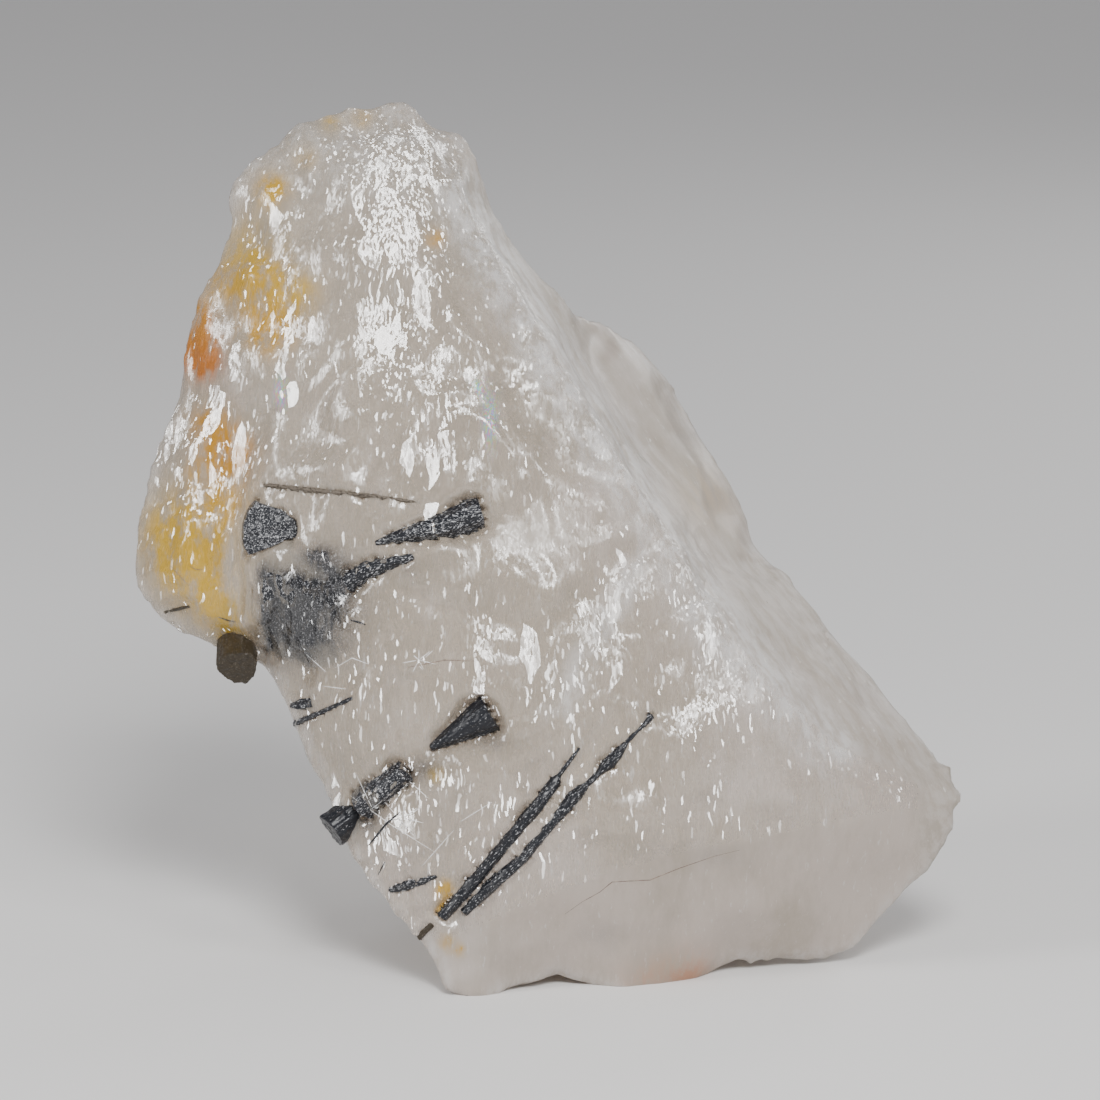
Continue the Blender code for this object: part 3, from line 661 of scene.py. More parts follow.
# %% How the quartz meets the crystals
# How deep each crystal lies under the quartz, in millimetres. Below zero it is bare.
COVER = {
    "thick_body": 0.02, "upper_band": -0.14, "lower_band": -0.1, "long_needle": -0.08, "pair_block": -0.12,
    "pair_needle": -0.14, "chain_middle": -0.04, "chain_wedge": -0.3, "needle_upper": -0.22,
    "needle_tip": -0.16, "needle_lower": -0.18, "short_band": -0.12, "lobe_needle": -0.08,
    "end_face_stub": -0.5,
}
REACH = 2.5
FLAP_SIZE, FLAP_HEIGHT, FLAP_DRAWN_OUT = 0.7, 0.3, 0.4


def near_crystal(name, points, normals):
    """Each of the points within reach of a crystal: its index, place and normal, and the crystal's tree."""
    mesh = crystals[name].data
    corners = points_of(mesh)
    tree = BVHTree.FromPolygons(corners.tolist(), [tuple(p.vertices) for p in mesh.polygons])
    low, high = corners.min(axis=0) - REACH, corners.max(axis=0) + REACH
    for i in np.nonzero(((points > low) & (points < high)).all(axis=1))[0]:
        yield i, Vector(points[i]), Vector(normals[i]), tree


def spread_out(values, fixed, mesh, rounds):
    """Lets the numbers fade into their neighbours over the mesh, except where they are fixed."""
    ends = np.empty(len(mesh.edges) * 2, dtype=np.int32)
    mesh.edges.foreach_get("vertices", ends)
    a, b = ends.reshape(-1, 2).T
    count = len(values)
    neighbours = np.bincount(a, minlength=count) + np.bincount(b, minlength=count)
    kept = values.copy()
    for _ in range(rounds):
        total = np.bincount(a, values[b], count) + np.bincount(b, values[a], count)
        values = np.where(fixed, kept, total / np.maximum(neighbours, 1))
    return values


def meet_crystals(mesh, points, normals):
    """How far each point moves so that the quartz lies on the crystals as COVER says, and which do."""
    push, met = np.zeros(len(points)), np.zeros(len(points), dtype=bool)
    for name, cover in COVER.items():
        for i, point, normal, tree in near_crystal(name, points, normals):
            _, _, _, distance = tree.ray_cast(point + normal * REACH, -normal, 2 * REACH)
            if distance is None:
                continue
            drawn_out = Vector((point.x, point.y, point.z * FLAP_DRAWN_OUT))
            flap = noise.noise(drawn_out / FLAP_SIZE) * FLAP_HEIGHT
            push[i] = cover + flap + (0 if name in LEVEL_CRYSTALS else REACH - distance)
            met[i] = True
    return spread_out(push, met, mesh, SPREAD_ROUNDS), met


# %% Carve
SPREAD_ROUNDS = 10
CALM_NEAR_CRYSTALS = 0.25
MOST_TRIANGLES = 190_000


def carve(mesh):
    """Moves every point of the quartz out by its relief, and flat onto the floor where it rests."""
    seen = Seen(mesh)
    hackle, calm = hackle_of(seen), calm_of(seen)
    points, normals = points_of(mesh), normals_of(mesh)
    places = [Vector(p) for p in points]
    points = points + normals * np.array([relief(p, c) for p, c in zip(places, calm)])[:, None]
    push, met = meet_crystals(mesh, points, normals)
    fine = np.array([flakes(p) for p in places]) * hackle * np.where(met, CALM_NEAR_CRYSTALS, 1)
    move_to(mesh, points + normals * (push + fine)[:, None])


def thin_out(obj, triangles):
    """Drops triangles from the flattest places until that many are left."""
    obj.data.calc_loop_triangles()
    fewer = obj.modifiers.new("fewer", "DECIMATE")
    fewer.ratio = min(1, triangles / len(obj.data.loop_triangles))
    apply_modifiers(obj)


carve(stone.data)
thin_out(stone, MOST_TRIANGLES)
print("carved:", len(stone.data.polygons), "faces")

# %% Where dark crystals show through, and a painted shadow
VEIL_REACH, VEIL_DEPTH, LEVEL_VEIL_DEPTH = 2.4, 0.18, 2.0
# Dark wisps deeper in the stone, and a painted shadow under the wedge, as (right, up, half width,
# half height, strength).
VEIL_AND_SHADE_SPOTS = [
    (-24.6, 36.4, 4.6, 3.0, 0.9), (-21.6, 41.0, 2.6, 3.4, 0.9), (-23.4, 44.2, 1.6, 1.0, 0.9),
    # The first spot of the row below is a painted shadow under the wedge.
    (-6.0, 25.6, 2.8, 0.8, 0.45), (-12.6, 22.8, 2.0, 1.4, 0.6), (-18.4, 17.6, 1.6, 1.4, 0.6),
    (17.0, 14.1, 3.2, 0.8, 0.2), (5.2, 6.4, 2.2, 1.0, 0.25), (-14.0, 42.8, 2.0, 0.8, 0.3),
    (14.5, 55.5, 2.2, 3.5, 0.10),
]


def veil_and_shade_of(mesh):
    """How dark each point is from the crystals under it, the wisps and the painted shadow under the wedge.
    """
    points, normals, seen = points_of(mesh), normals_of(mesh), Seen(mesh)
    veil_and_shade = seen.spots(VEIL_AND_SHADE_SPOTS) * seen.front
    for name in COVER:
        fading = LEVEL_VEIL_DEPTH if name in LEVEL_CRYSTALS else VEIL_DEPTH
        for i, point, normal, tree in near_crystal(name, points, normals):
            _, _, _, depth = tree.ray_cast(point, -normal, VEIL_REACH)
            if depth is not None:
                veil_and_shade[i] = max(veil_and_shade[i], math.exp(-depth / fading))
    return spread_out(np.minimum(veil_and_shade, 1), np.zeros(len(veil_and_shade), dtype=bool), mesh, 2)


# %% Write the zones into the mesh
# The main set of cracks lies in shells round this point, far in front and above, so they flash together.
CRACKS_CENTRE = np.array((30, -485, 285))
SWIRL_SIZE, SWIRL_REACH = 1.1, 0.45
# Without a seed, Blender draws the offsets of its noise vectors from the clock, anew in each run.
SWIRL_SEED = 7


def face_of(mesh):
    """Which way a crack at each point faces."""
    towards = CRACKS_CENTRE - points_of(mesh)
    return towards / np.linalg.norm(towards, axis=1)[:, None]


def swirl_of(mesh):
    """A small shift that turns slowly from place to place, to bend what would be straight."""
    noise.seed_set(SWIRL_SEED)
    return np.array([noise.noise_vector(Vector(p) / SWIRL_SIZE) for p in points_of(mesh)]) * SWIRL_REACH


def run_of(mesh, seen):
    """The part of each place that lies along its cracks, which run up the front and down the slope."""
    points = points_of(mesh)
    down_slope = np.array(place(38.6, 24.9, 14) - place(23.8, 42.3, 18))
    down_slope /= np.linalg.norm(down_slope)
    on_slope = slope_of(seen)[:, None]
    along = np.array((0, 0, 1)) * (on_slope < 0.5) + down_slope * (on_slope >= 0.5)
    return (points * along).sum(axis=1)[:, None] * along


seen = Seen(stone.data)
rust, redness = rust_of(seen)
for name, values in (
    ("hackle", hackle_of(seen)), ("plates", plates_of(seen)), ("frost_and_rim_glow", frost_and_rim_glow_of(seen)),
    ("flash", flash_of(seen)), ("milk_and_glow", milk_and_glow_of(seen)), ("rust", rust), ("redness", redness),
    ("rainbow", rainbow_of(seen)), ("veil_and_shade", veil_and_shade_of(stone.data)), ("swirl", swirl_of(stone.data)),
    ("face", face_of(stone.data)), ("run", run_of(stone.data, seen)), ("satin", satin_of(seen)),
):
    paint(stone.data, name, values)
    print(name, round(float(values.mean()), 2))
stone.data.shade_smooth()
stone.data.set_sharp_from_angle(angle=math.radians(28))

# %% [markdown]
# ## Node helpers
# The materials are made of nodes. These helpers each add one node and hand back its output, so that a
# material reads like a sum. Sizes are in millimetres, because the coordinates are turned into them.

# %% One node per call
def join(tree, value, socket):
    """Links a socket, or sets a number or a colour."""
    if isinstance(value, bpy.types.NodeSocket):
        tree.links.new(value, socket)
    elif isinstance(value, tuple) and socket.type == "RGBA":
        socket.default_value = (*value, 1)
    else:
        socket.default_value = value


def maths(tree, operation, a, b=0.0, clamp=False):
    node = tree.nodes.new("ShaderNodeMath")
    node.operation = operation
    node.use_clamp = clamp
    join(tree, a, node.inputs[0])
    join(tree, b, node.inputs[1])
    return node.outputs[0]


def vector_maths(tree, operation, a, b=(0, 0, 0)):
    node = tree.nodes.new("ShaderNodeVectorMath")
    node.operation = operation
    join(tree, a, node.inputs[0])
    join(tree, b, node.inputs["Scale" if operation == "SCALE" else 1])
    return node.outputs["Value" if operation == "DOT_PRODUCT" else "Vector"]


def remap(tree, value, low, high, to_low=0.0, to_high=1.0):
    node = tree.nodes.new("ShaderNodeMapRange")
    for socket, given in zip(node.inputs, (value, low, high, to_low, to_high)):
        join(tree, given, socket)
    return node.outputs[0]


# A Mix node has sockets for every kind of data, so these are the places of its two inputs and its output.
MIX_SOCKETS = {"RGBA": (6, 7, 2), "VECTOR": (4, 5, 1)}


def mix(tree, share, a, b, kind="RGBA"):
    node = tree.nodes.new("ShaderNodeMix")
    node.data_type = kind
    first, second, result = MIX_SOCKETS[kind]
    join(tree, share, node.inputs["Factor"])
    join(tree, a, node.inputs[first])
    join(tree, b, node.inputs[second])
    return node.outputs[result]


def noise_of(tree, vector, scale, detail=4.0, roughness=0.55, distortion=0.0):
    node = tree.nodes.new("ShaderNodeTexNoise")
    join(tree, vector, node.inputs["Vector"])
    settings = {"Scale": scale, "Detail": detail, "Roughness": roughness, "Distortion": distortion}
    for name, number in settings.items():
        node.inputs[name].default_value = number
    return node.outputs["Fac"]


def painted(tree, name, kind="Fac"):
    """What was painted on the mesh: a number, or a vector if the kind is Vector."""
    node = tree.nodes.new("ShaderNodeAttribute")
    node.attribute_name = name
    return node.outputs[kind]


def millimetres(tree):
    """Where the shaded point is on its piece, in millimetres."""
    where = tree.nodes.new("ShaderNodeTexCoord").outputs["Object"]
    return vector_maths(tree, "MULTIPLY", where, (1000, 1000, 1000))


def normal_here(tree):
    """Which way the smooth surface faces, in the piece's own frame."""
    return tree.nodes.new("ShaderNodeTexCoord").outputs["Normal"]


def to_world(tree, normal):
    """A normal of the piece's own frame, as the shader wants it."""
    node = tree.nodes.new("ShaderNodeVectorTransform")
    node.vector_type = "NORMAL"
    node.convert_from, node.convert_to = "OBJECT", "WORLD"
    join(tree, normal, node.inputs[0])
    return node.outputs[0]


# %% [markdown]
# ## Flakes, an effect that both stones share
# Fresh breaks in quartz and in tourmaline glint because tiny planes lean every way, and each mirrors a
# lamp or doesn't. A Voronoi texture gives the planes: every cell is one, and the cell's random colour is
# its lean. Cracks of one set lie parallel and flash together, so a share of the cells all face one way.
# A bump would give the same planes, but it reads the texture three times, so the normal is leaned itself.

# %% The flake group
def add_sockets(group, inputs, outputs):
    """Gives a node group its named inputs, as (name, kind, value), and its outputs, as (name, kind)."""
    for name, kind, value in inputs:
        socket = group.interface.new_socket(name, in_out="INPUT", socket_type="NodeSocket" + kind)
        if value is not None:
            socket.default_value = value
    for name, kind in outputs:
        group.interface.new_socket(name, in_out="OUTPUT", socket_type="NodeSocket" + kind)
    return group.nodes.new("NodeGroupInput").outputs, group.nodes.new("NodeGroupOutput").inputs


# How much the flakes that face one way still lean on their own.
FACED_TILT = 0.17
# Make one number of a cell's colour that says little of its lean.
DRAW_WEIGHTS = (7.1, 5.3, 3.7)


def flake_group():
    """Normals of flat facets, where a share of them face nearly one way, and a random draw per facet."""
    group = bpy.data.node_groups.new("flakes", "ShaderNodeTree")
    inputs = [
        ("Vector", "Vector", None), ("Normal", "Vector", None), ("Swirl", "Vector", (0, 0, 0)),
        ("Squeeze", "Vector", (1, 1, 1)), ("Scale", "Float", 1.0), ("Tilt", "Float", 0.3),
        ("Face", "Vector", (0, 0, 1)), ("Share", "Float", 0.0),
    ]
    given, result = add_sockets(group, inputs, [("Normal", "Vector"), ("Draw", "Float")])
    ragged = vector_maths(group, "ADD", given["Vector"], given["Swirl"])
    cells = group.nodes.new("ShaderNodeTexVoronoi")
    join(group, vector_maths(group, "MULTIPLY", ragged, given["Squeeze"]), cells.inputs["Vector"])
    join(group, given["Scale"], cells.inputs["Scale"])
    colour = cells.outputs["Color"]
    draw = maths(group, "FRACT", vector_maths(group, "DOT_PRODUCT", colour, DRAW_WEIGHTS))
    turned = maths(group, "LESS_THAN", draw, given["Share"])
    tilt = remap(group, turned, 0, 1, given["Tilt"], FACED_TILT)
    lean = vector_maths(group, "SCALE", vector_maths(group, "SUBTRACT", colour, (0.5, 0.5, 0.5)), tilt)
    faced = mix(group, turned, given["Normal"], given["Face"], "VECTOR")
    normal = vector_maths(group, "NORMALIZE", vector_maths(group, "ADD", faced, lean))
    join(group, normal, result["Normal"])
    join(group, draw, result["Draw"])
    return group


# %% [markdown]
# ## Dust, the second shared effect
# Quartz dust clings to the tourmaline in fine pale specks. Where a crystal lies just under the quartz,
# the same speckled dark shows through, so both finishes take it from one group.

# %% The dust group
SPECK_SCALE = 7.0
NO_DUST, FULL_DUST = 0.66, 0.42
SPECK_EDGE = 0.07


def dust_group():
    """A dark stone with pale specks on it, and where the specks are."""
    group = bpy.data.node_groups.new("dust", "ShaderNodeTree")
    inputs = [
        ("Vector", "Vector", None), ("Dust", "Float", 0.5), ("Dark", "Color", (0, 0, 0, 1)),
        ("Pale", "Color", (1, 1, 1, 1)),
    ]
    given, result = add_sockets(group, inputs, [("Color", "Color"), ("Specks", "Float")])
    grain = noise_of(group, given["Vector"], SPECK_SCALE, 2, 0.8)
    edge = remap(group, given["Dust"], 0, 1, NO_DUST, FULL_DUST)
    specks = remap(group, maths(group, "SUBTRACT", grain, edge), 0.0, SPECK_EDGE)
    join(group, mix(group, specks, given["Dark"], given["Pale"]), result["Color"])
    join(group, specks, result["Specks"])
    return group


# %% Place the groups in a material
FLAKES, DUST_ON_STONE = flake_group(), dust_group()
BLACK = (0.008, 0.009, 0.013)
BLACK_DUST = (0.44, 0.445, 0.46)


def placed(tree, group, values):
    """A group node with its inputs linked or set, and its two outputs."""
    node = tree.nodes.new("ShaderNodeGroup")
    node.node_tree = group
    for socket, value in zip(node.inputs, values):
        join(tree, value, socket)
    return node.outputs[0], node.outputs[1]


def flaky(tree, vector, normal, swirl, squeeze, scale, tilt, face=(0, 0, 1), share=0.0):
    """The normal once the flakes lean it, some of them the way of the main cracks, and a draw per flake."""
    return placed(tree, FLAKES, (vector, normal, swirl, squeeze, scale, tilt, face, share))


def dusty(tree, vector, dust, dark, pale):
    """The colour of the dusty stone, and where its specks are."""
    return placed(tree, DUST_ON_STONE, (vector, dust, dark, pale))


print("groups:", [group.name for group in bpy.data.node_groups])

# %% [markdown]
# ## Cloudy glass
# Milky quartz is clear quartz full of tiny bubbles. Half of the light goes through as in glass, less
# what the body takes out of it, and the bubbles turn the other half back near the surface. Scattering
# under the surface would be truer, but it took a third longer and looked much the same. Where the break
# crushed it, it is whiter and duller, rust colours the cracks, and near crystals show through.
# Its colour also holds painted light: a glow right, below and on the rim, glints, and a wedge shadow.

# %% Textures along the cracks
# Lengths along the run of the cracks are shortened to these shares, so a texture is drawn out there.
PATCH_SHARE, HAIR_SHARE = 0.36, 0.18


def along_run(tree, where, share):
    """The place, shortened along the run of the cracks."""
    along = vector_maths(tree, "SCALE", painted(tree, "run", "Vector"), 1 - share)
    return vector_maths(tree, "SUBTRACT", where, along)


# %% What shows in the quartz
YELLOW_RUST = (0.76, 0.49, 0.03)
RED_RUST = (0.62, 0.18, 0.01)
VEILED_AND_SHADED_DUST = 0.42
VEILED_AND_SHADED_PALE = (0.46, 0.46, 0.48)
RAINBOW_TURNS, RAINBOW_STRENGTH = 5.0, 0.7


def rusty(tree, patchy, colour):
    """Rust in ragged patches over a colour."""
    patches = remap(tree, patchy, 0.38, 0.58, 0.3, 1.5)
    share = maths(tree, "MULTIPLY", painted(tree, "rust"), patches, clamp=True)
    return mix(tree, share, colour, mix(tree, painted(tree, "redness"), YELLOW_RUST, RED_RUST))


def rainbow(tree, patchy, fine, colour):
    """Films of air in cracks, which show the colours of a soap bubble."""
    hue = tree.nodes.new("ShaderNodeCombineColor")
    hue.mode = "HSV"
    join(tree, maths(tree, "FRACT", maths(tree, "MULTIPLY", fine, RAINBOW_TURNS)), hue.inputs[0])
    hue.inputs[1].default_value = RAINBOW_STRENGTH
    hue.inputs[2].default_value = 1.0
    film = maths(tree, "MULTIPLY", painted(tree, "rainbow"), remap(tree, patchy, 0.35, 0.5))
    return mix(tree, film, colour, hue.outputs[0])


def veiled_and_shaded(tree, where, patchy, colour):
    """The dark crystals that show through from below, and the painted shadow under the wedge."""
    uneven = remap(tree, patchy, 0.35, 0.6, 0.85, 1.35)
    share = maths(tree, "MULTIPLY", painted(tree, "veil_and_shade"), uneven, clamp=True)
    speckled, _ = dusty(tree, where, VEILED_AND_SHADED_DUST, BLACK, VEILED_AND_SHADED_PALE)
    return mix(tree, share, colour, speckled)


# %% The quartz's colour
CLEAR_GREY = (0.50, 0.435, 0.35)
# Warm white, which also serves for the painted glow to the right and below.
WARM_WHITE = (0.68, 0.60, 0.535)
# Frost white, which also serves for the painted rim glow and the painted glints.
FROST_AND_HIGHLIGHT_WHITE = (0.95, 0.94, 0.93)
MOTTLE = 0.35
# The fine white cracks, partly painted glints: how high the noise must be for one where few flash
# and where all do, and its edge.
FEW_CRACKS_AND_GLINTS, ALL_CRACKS_AND_GLINTS, CRACK_AND_GLINT_EDGE = 0.62, 0.50, 0.08
CRACK_AND_GLINT_STRENGTH = 0.5


def quartz_colour(tree, where, patchy, frost_and_rim_glow):
    """Mottled grey to warm white, whiter where crushed or cracked, with what shows in it and painted light.
    """
    uneven = remap(tree, patchy, 0.3, 0.7, -MOTTLE, MOTTLE)
    # The milkiness holds the body's own clouds and a painted glow to the right and below.
    milk_and_glow = maths(tree, "ADD", painted(tree, "milk_and_glow"), uneven, clamp=True)
    # White dashes from this noise: partly real white cracks, partly painted glints, more where cracks flash.
    fine = noise_of(tree, along_run(tree, where, HAIR_SHARE), 2.6, 3, 0.7)
    least = remap(tree, painted(tree, "flash"), 0, 1, FEW_CRACKS_AND_GLINTS, ALL_CRACKS_AND_GLINTS)
    cracks_and_glints = remap(tree, maths(tree, "SUBTRACT", fine, least), 0, CRACK_AND_GLINT_EDGE)
    # The white is frost, white cracks, a painted glow along the rim and painted glints.
    white = maths(tree, "MAXIMUM", frost_and_rim_glow, maths(tree, "MULTIPLY", cracks_and_glints, CRACK_AND_GLINT_STRENGTH))
    colour = mix(tree, white, mix(tree, milk_and_glow, CLEAR_GREY, WARM_WHITE), FROST_AND_HIGHLIGHT_WHITE)
    return veiled_and_shaded(tree, where, patchy, rainbow(tree, patchy, fine, rusty(tree, patchy, colour)))


# %% The quartz's break
# Plates about 5 mm long and slivers about 1 mm long: how many lie side by side in a millimetre, and the
# share that lengths up the stone are shortened to.
PLATE_SCALE, PLATE_SHARE = 0.75, 0.28
SLIVER_SCALE, SLIVER_SHARE = 5.2, 0.18
PLATE_TILT = 0.14
# The slivers lean more where there are no plates.
SLIVER_TILT, SLIVER_TILT_ON_PLATES, MANY_PLATES = 0.3, 0.18, 0.6
PLATE_SWIRL, SLIVER_SWIRL = 0.7, 0.8
# Roughness: the least of a glassy flake, the most of a sliver and of one on a plate, and that of satin.
GLASSY, DULL_SLIVER, DULL_PLATE, SATIN = 0.05, 0.36, 0.14, 0.55
DRAWS_MIXED = 9.0


def broken_quartz(tree, where, dull, side):
    """The normal and the roughness of the break, seen from outside (side 1) or from inside (-1)."""
    hackle, share, flash = painted(tree, "hackle"), painted(tree, "plates"), painted(tree, "flash")
    face, swirl = painted(tree, "face", "Vector"), painted(tree, "swirl", "Vector")
    normal = vector_maths(tree, "SCALE", normal_here(tree), side)
    tilt = maths(tree, "MULTIPLY", hackle, PLATE_TILT)
    swirl = vector_maths(tree, "SCALE", swirl, PLATE_SWIRL)
    squeeze = (1, 1, PLATE_SHARE)
    normal, draw = flaky(tree, where, normal, swirl, squeeze, PLATE_SCALE, tilt, face, share)
    tilt = remap(tree, share, 0, MANY_PLATES, SLIVER_TILT, SLIVER_TILT_ON_PLATES)
    tilt = maths(tree, "MULTIPLY", hackle, tilt)
    swirl = vector_maths(tree, "SCALE", swirl, SLIVER_SWIRL)
    squeeze = (1, 1, SLIVER_SHARE)
    normal, fine_draw = flaky(tree, where, normal, swirl, squeeze, SLIVER_SCALE, tilt, face, flash)
    polish = maths(tree, "FRACT", maths(tree, "ADD", maths(tree, "MULTIPLY", draw, DRAWS_MIXED), fine_draw))
    dullest = remap(tree, share, 0, 0.5, DULL_SLIVER, DULL_PLATE)
    glassy = remap(tree, polish, 0, 1, GLASSY, dullest)
    roughness = remap(tree, dull, 0, 1, glassy, SATIN)
    return to_world(tree, vector_maths(tree, "SCALE", normal, side)), roughness


# %% The quartz material
QUARTZ_IOR = 1.54
GLASS_SHARE = 0.5
BODY_TINT, BODY_DENSITY = (0.86, 0.80, 0.74), 35
FROST_DULLS = 0.45


def quartz_material():
    """Half glass and half milk, with everything that shows in it."""
    made, tree, surface = new_material("milky quartz")
    where = millimetres(tree)
    patchy = noise_of(tree, along_run(tree, where, PATCH_SHARE), 0.7, 4, 0.75)
    ragged = remap(tree, patchy, 0.42, 0.58, 0.25, 1)
    frost_and_rim_glow = maths(tree, "MULTIPLY", painted(tree, "frost_and_rim_glow"), ragged, clamp=True)
    join(tree, quartz_colour(tree, where, patchy, frost_and_rim_glow), surface.inputs["Base Color"])
    # From inside the glass the normal points inwards, so it is turned round for the flakes and back.
    side = remap(tree, tree.nodes.new("ShaderNodeNewGeometry").outputs["Backfacing"], 0, 1, 1, -1)
    dull = maths(tree, "MAXIMUM", painted(tree, "satin"), maths(tree, "MULTIPLY", frost_and_rim_glow, FROST_DULLS))
    normal, roughness = broken_quartz(tree, where, dull, side)
    join(tree, normal, surface.inputs["Normal"])
    join(tree, roughness, surface.inputs["Roughness"])
    surface.inputs["IOR"].default_value = QUARTZ_IOR
    surface.inputs["Specular IOR Level"].default_value = 1.0
    surface.inputs["Transmission Weight"].default_value = GLASS_SHARE
    body = tree.nodes.new("ShaderNodeVolumeAbsorption")
    join(tree, BODY_TINT, body.inputs["Color"])
    body.inputs["Density"].default_value = BODY_DENSITY
    tree.links.new(body.outputs[0], tree.nodes["Material Output"].inputs["Volume"])
    print("quartz material:", len(tree.nodes), "nodes")
    return made


stone.data.materials.append(quartz_material())
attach(stone, "root")
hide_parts("quartz")

# %% [markdown]
# ## The tourmaline's finish
# The ribs and chips are in the mesh already, so the finish only adds what is finer: a glassy black or
# brown, pale dust that dulls it in specks, and flakes that glint. It is read along each crystal's own
# fibre, so that the specks are drawn out as the ribs are.

# %% The tourmaline material
BROWN_STONE = (0.030, 0.022, 0.012)
BROWN_DUST = (0.15, 0.125, 0.10)
TOURMALINE_IOR = 1.64
BARE, DUSTY = 0.35, 0.7
SPARKLE_SCALE, SPARKLE_TILT = 3.0, 0.35


def tourmaline_material(name, dark, pale):
    """Glassy stone under specks of dust."""
    made, tree, surface = new_material(name)
    where = painted(tree, "fibre", "Vector")
    colour, specks = dusty(tree, where, painted(tree, "dust"), dark, pale)
    join(tree, colour, surface.inputs["Base Color"])
    join(tree, remap(tree, specks, 0, 1, BARE, DUSTY), surface.inputs["Roughness"])
    normal = normal_here(tree)
    sparkling, _ = flaky(tree, where, normal, (0, 0, 0), (1, 1, 1), SPARKLE_SCALE, SPARKLE_TILT)
    join(tree, to_world(tree, sparkling), surface.inputs["Normal"])
    surface.inputs["IOR"].default_value = TOURMALINE_IOR
    surface.inputs["Specular IOR Level"].default_value = 0.25
    return made


black = tourmaline_material("black tourmaline", BLACK, BLACK_DUST)
brown = tourmaline_material("brown tourmaline", BROWN_STONE, BROWN_DUST)
for name, piece in crystals.items():
    paint(piece.data, "dust", np.full(len(piece.data.vertices), DUST[name]))
    piece.data.materials.clear()
    piece.data.materials.append(brown if name in BROWN else black)
    piece.data.transform(TO_FRAME)
    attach(piece, "root")
    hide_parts(name)
print("dressed:", len(crystals), "crystals")

# %% [markdown]
# ## Threads and hairlines
# Some tourmaline is no thicker than a hair, fine rusty cracks cross the clean undercut, and white ones
# spread from knocks round the crystals. All are drawn as thin tapering tubes that follow the carved
# surface, found by looking from the eye at each place.

# %% Where the threads lie
# The angle from one line of a star to the next, which never falls on an earlier line.
GOLDEN_TURN = 2.4


def star(right, up, reach, rays):
    """Uneven lines round one place, as a knock leaves them."""
    lines = []
    for i in range(rays):
        turn, start, end = GOLDEN_TURN * i, 0.3 * (i % 3), reach * (1 - 0.2 * (i * 7 % 4))
        far_turn = turn + 0.25 * (i % 3 - 1)
        lines.append([
            (right + start * math.cos(turn), up + start * math.sin(turn)),
            (right + end * math.cos(far_turn), up + end * math.sin(far_turn)),
        ])
    return lines


# Each piece as its name, its kind, its threads' radius in millimetres and their lines through (right, up).
THREADS = [
    ("undercut_crack", "crack", 0.045, [[(1.5, 8.4), (3.2, 9.6), (5.0, 10.6), (6.2, 11.6), (8.0, 11.7),
                                         (10.0, 11.8), (13.0, 13.0), (16.5, 14.2), (19.0, 14.8)]]),
    ("face_crack", "crack", 0.045, [[(-14.5, 33.0), (-12.5, 33.4), (-10.5, 33.8), (-7.5, 33.7)]]),
    ("lobe_crack_a", "crack", 0.04, [[(-38.0, 43.3), (-37.0, 42.2), (-36.1, 41.2)]]),
    ("lobe_crack_b", "crack", 0.04, [[(-36.2, 43.3), (-35.5, 42.9), (-34.7, 42.8)]]),
    ("side_hair", "hair", 0.13, [[(-15.0, 18.6), (-16.4, 17.4), (-17.6, 15.9), (-18.2, 15.2)]]),
    ("short_hair", "hair", 0.09, [[(-16.5, 13.6), (-16.9, 12.9), (-17.2, 12.3)]]),
    ("lobe_hair", "hair", 0.07, [[(-33.2, 38.1), (-32.3, 37.8), (-31.4, 37.6)]]),
    ("body_hair", "hair", 0.09, [[(-20.0, 37.8), (-19.2, 37.6), (-18.4, 37.3)]]),
    ("white_cracks", "white", 0.04, star(-13.1, 33.8, 1.7, 11) + star(-14.6, 18.0, 2.0, 9) + [
        [(-20.2, 20.4), (-16.0, 17.4), (-11.4, 14.5)], [(-20.0, 17.4), (-17.2, 19.4), (-14.2, 22.0)],
        [(-17.4, 20.6), (-13.6, 16.2)], [(-16.0, 23.4), (-12.2, 20.0)], [(-19.4, 22.4), (-17.6, 18.6)],
        [(-21.5, 33.0), (-19.8, 34.0), (-18.2, 33.4)], [(-22.8, 31.2), (-20.4, 30.9)],
        [(-24.6, 34.6), (-22.4, 32.6)], [(-12.8, 13.2), (-9.6, 16.8)], [(-9.0, 17.6), (-5.8, 19.6)],
    ]),
]
# %% Threads on the surface
THREAD_SIDES = 6
STEP_ALONG = 0.3
THINNEST = 0.25
UNEVEN = 0.35


def close_steps(places):
    """Points close together along the broken line."""
    dense = []
    for (r0, u0), (r1, u1) in zip(places, places[1:]):
        steps = max(2, round(math.hypot(r1 - r0, u1 - u0) / STEP_ALONG))
        dense += [(r0 + (r1 - r0) * i / steps, u0 + (u1 - u0) * i / steps) for i in range(steps)]
    return dense + [places[-1]]


def on_stone(tree, right, up):
    """The point of the carved quartz that the eye sees there, and its normal."""
    aim = place(right, up, 0)
    point, normal, _, _ = tree.ray_cast(EYE, (aim - EYE).normalized())
    return point, normal


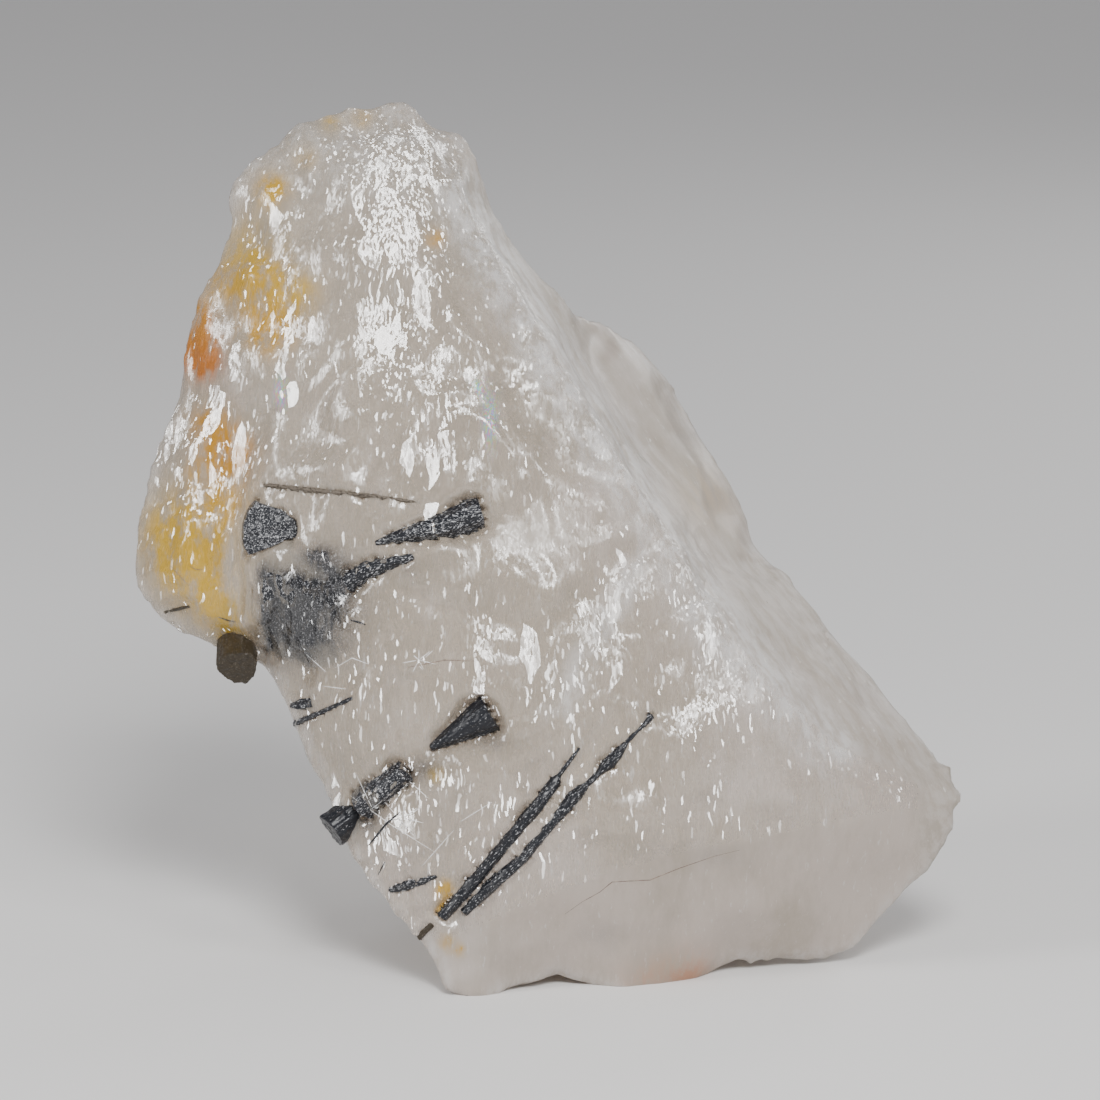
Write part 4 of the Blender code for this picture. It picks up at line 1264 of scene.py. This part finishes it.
def add_thread(shape, places, radius, tree):
    """Adds a tapering tube along the places, half sunk in the stone."""
    route = [on_stone(tree, *p) for p in close_steps(places)]
    route = [(point, normal) for point, normal in route if point is not None]
    rings = []
    for i, (point, normal) in enumerate(route):
        before, after = route[max(0, i - 1)][0], route[min(len(route) - 1, i + 1)][0]
        along = (after - before).normalized()
        side = along.cross(normal).normalized()
        lift = side.cross(along)
        width = radius * (THINNEST + (1 - THINNEST) * math.sin(math.pi * (i + 0.5) / len(route)))
        width *= 1 + UNEVEN * noise.noise(point * 2)
        ring = []
        for k in range(THREAD_SIDES):
            turn = 2 * math.pi * k / THREAD_SIDES
            ring.append(shape.verts.new(point + (side * math.cos(turn) + lift * math.sin(turn)) * width))
        rings.append(ring)
    for ring, following in zip(rings, rings[1:]):
        for k in range(THREAD_SIDES):
            n = (k + 1) % THREAD_SIDES
            shape.faces.new((ring[k], ring[n], following[n], following[k]))
    shape.faces.new(list(reversed(rings[0])))
    shape.faces.new(rings[-1])


def thread_material(name, colour, lighter):
    """A dull, slightly uneven colour."""
    made, tree, surface = new_material(name)
    uneven = remap(tree, noise_of(tree, millimetres(tree), 2.0, 3), 0.4, 0.65)
    join(tree, mix(tree, uneven, colour, lighter), surface.inputs["Base Color"])
    join(tree, remap(tree, uneven, 0, 1, 0.3, 0.6), surface.inputs["Roughness"])
    return made


stone_tree = BVHTree.FromObject(stone, bpy.context.evaluated_depsgraph_get())
kinds = {
    "crack": (thread_material("rusty crack", (0.12, 0.07, 0.05), (0.32, 0.24, 0.19)), "brown_tourmaline"),
    "hair": (black, "black_tourmaline"),
    "white": (thread_material("white crack", (0.95, 0.95, 0.95), (0.80, 0.78, 0.76)), "milky_quartz"),
}
for name, kind, radius, lines in THREADS:
    shape = bmesh.new()
    for line in lines:
        add_thread(shape, line, radius, stone_tree)
    bmesh.ops.recalc_face_normals(shape, faces=shape.faces)
    piece = add_object(name, shape)
    material, slot = kinds[kind]
    paint(piece.data, "dust", np.full(len(piece.data.vertices), 0.3))
    paint(piece.data, "fibre", points_of(piece.data))
    piece.data.materials.append(material)
    piece.data.transform(TO_FRAME)
    piece.data.shade_smooth()
    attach(piece, "root")
print("threads:", len(THREADS))

stone.data.transform(TO_FRAME)

# %% [markdown]
# ## Sizes
# The dressed stone must fill the same box as the solids, so its points are kept inside it, and the solids'
# box is printed.

# %% The solids' box
print("solids' box:", [[round(c / MM, 2) for c in corner] for corner in cad_box])
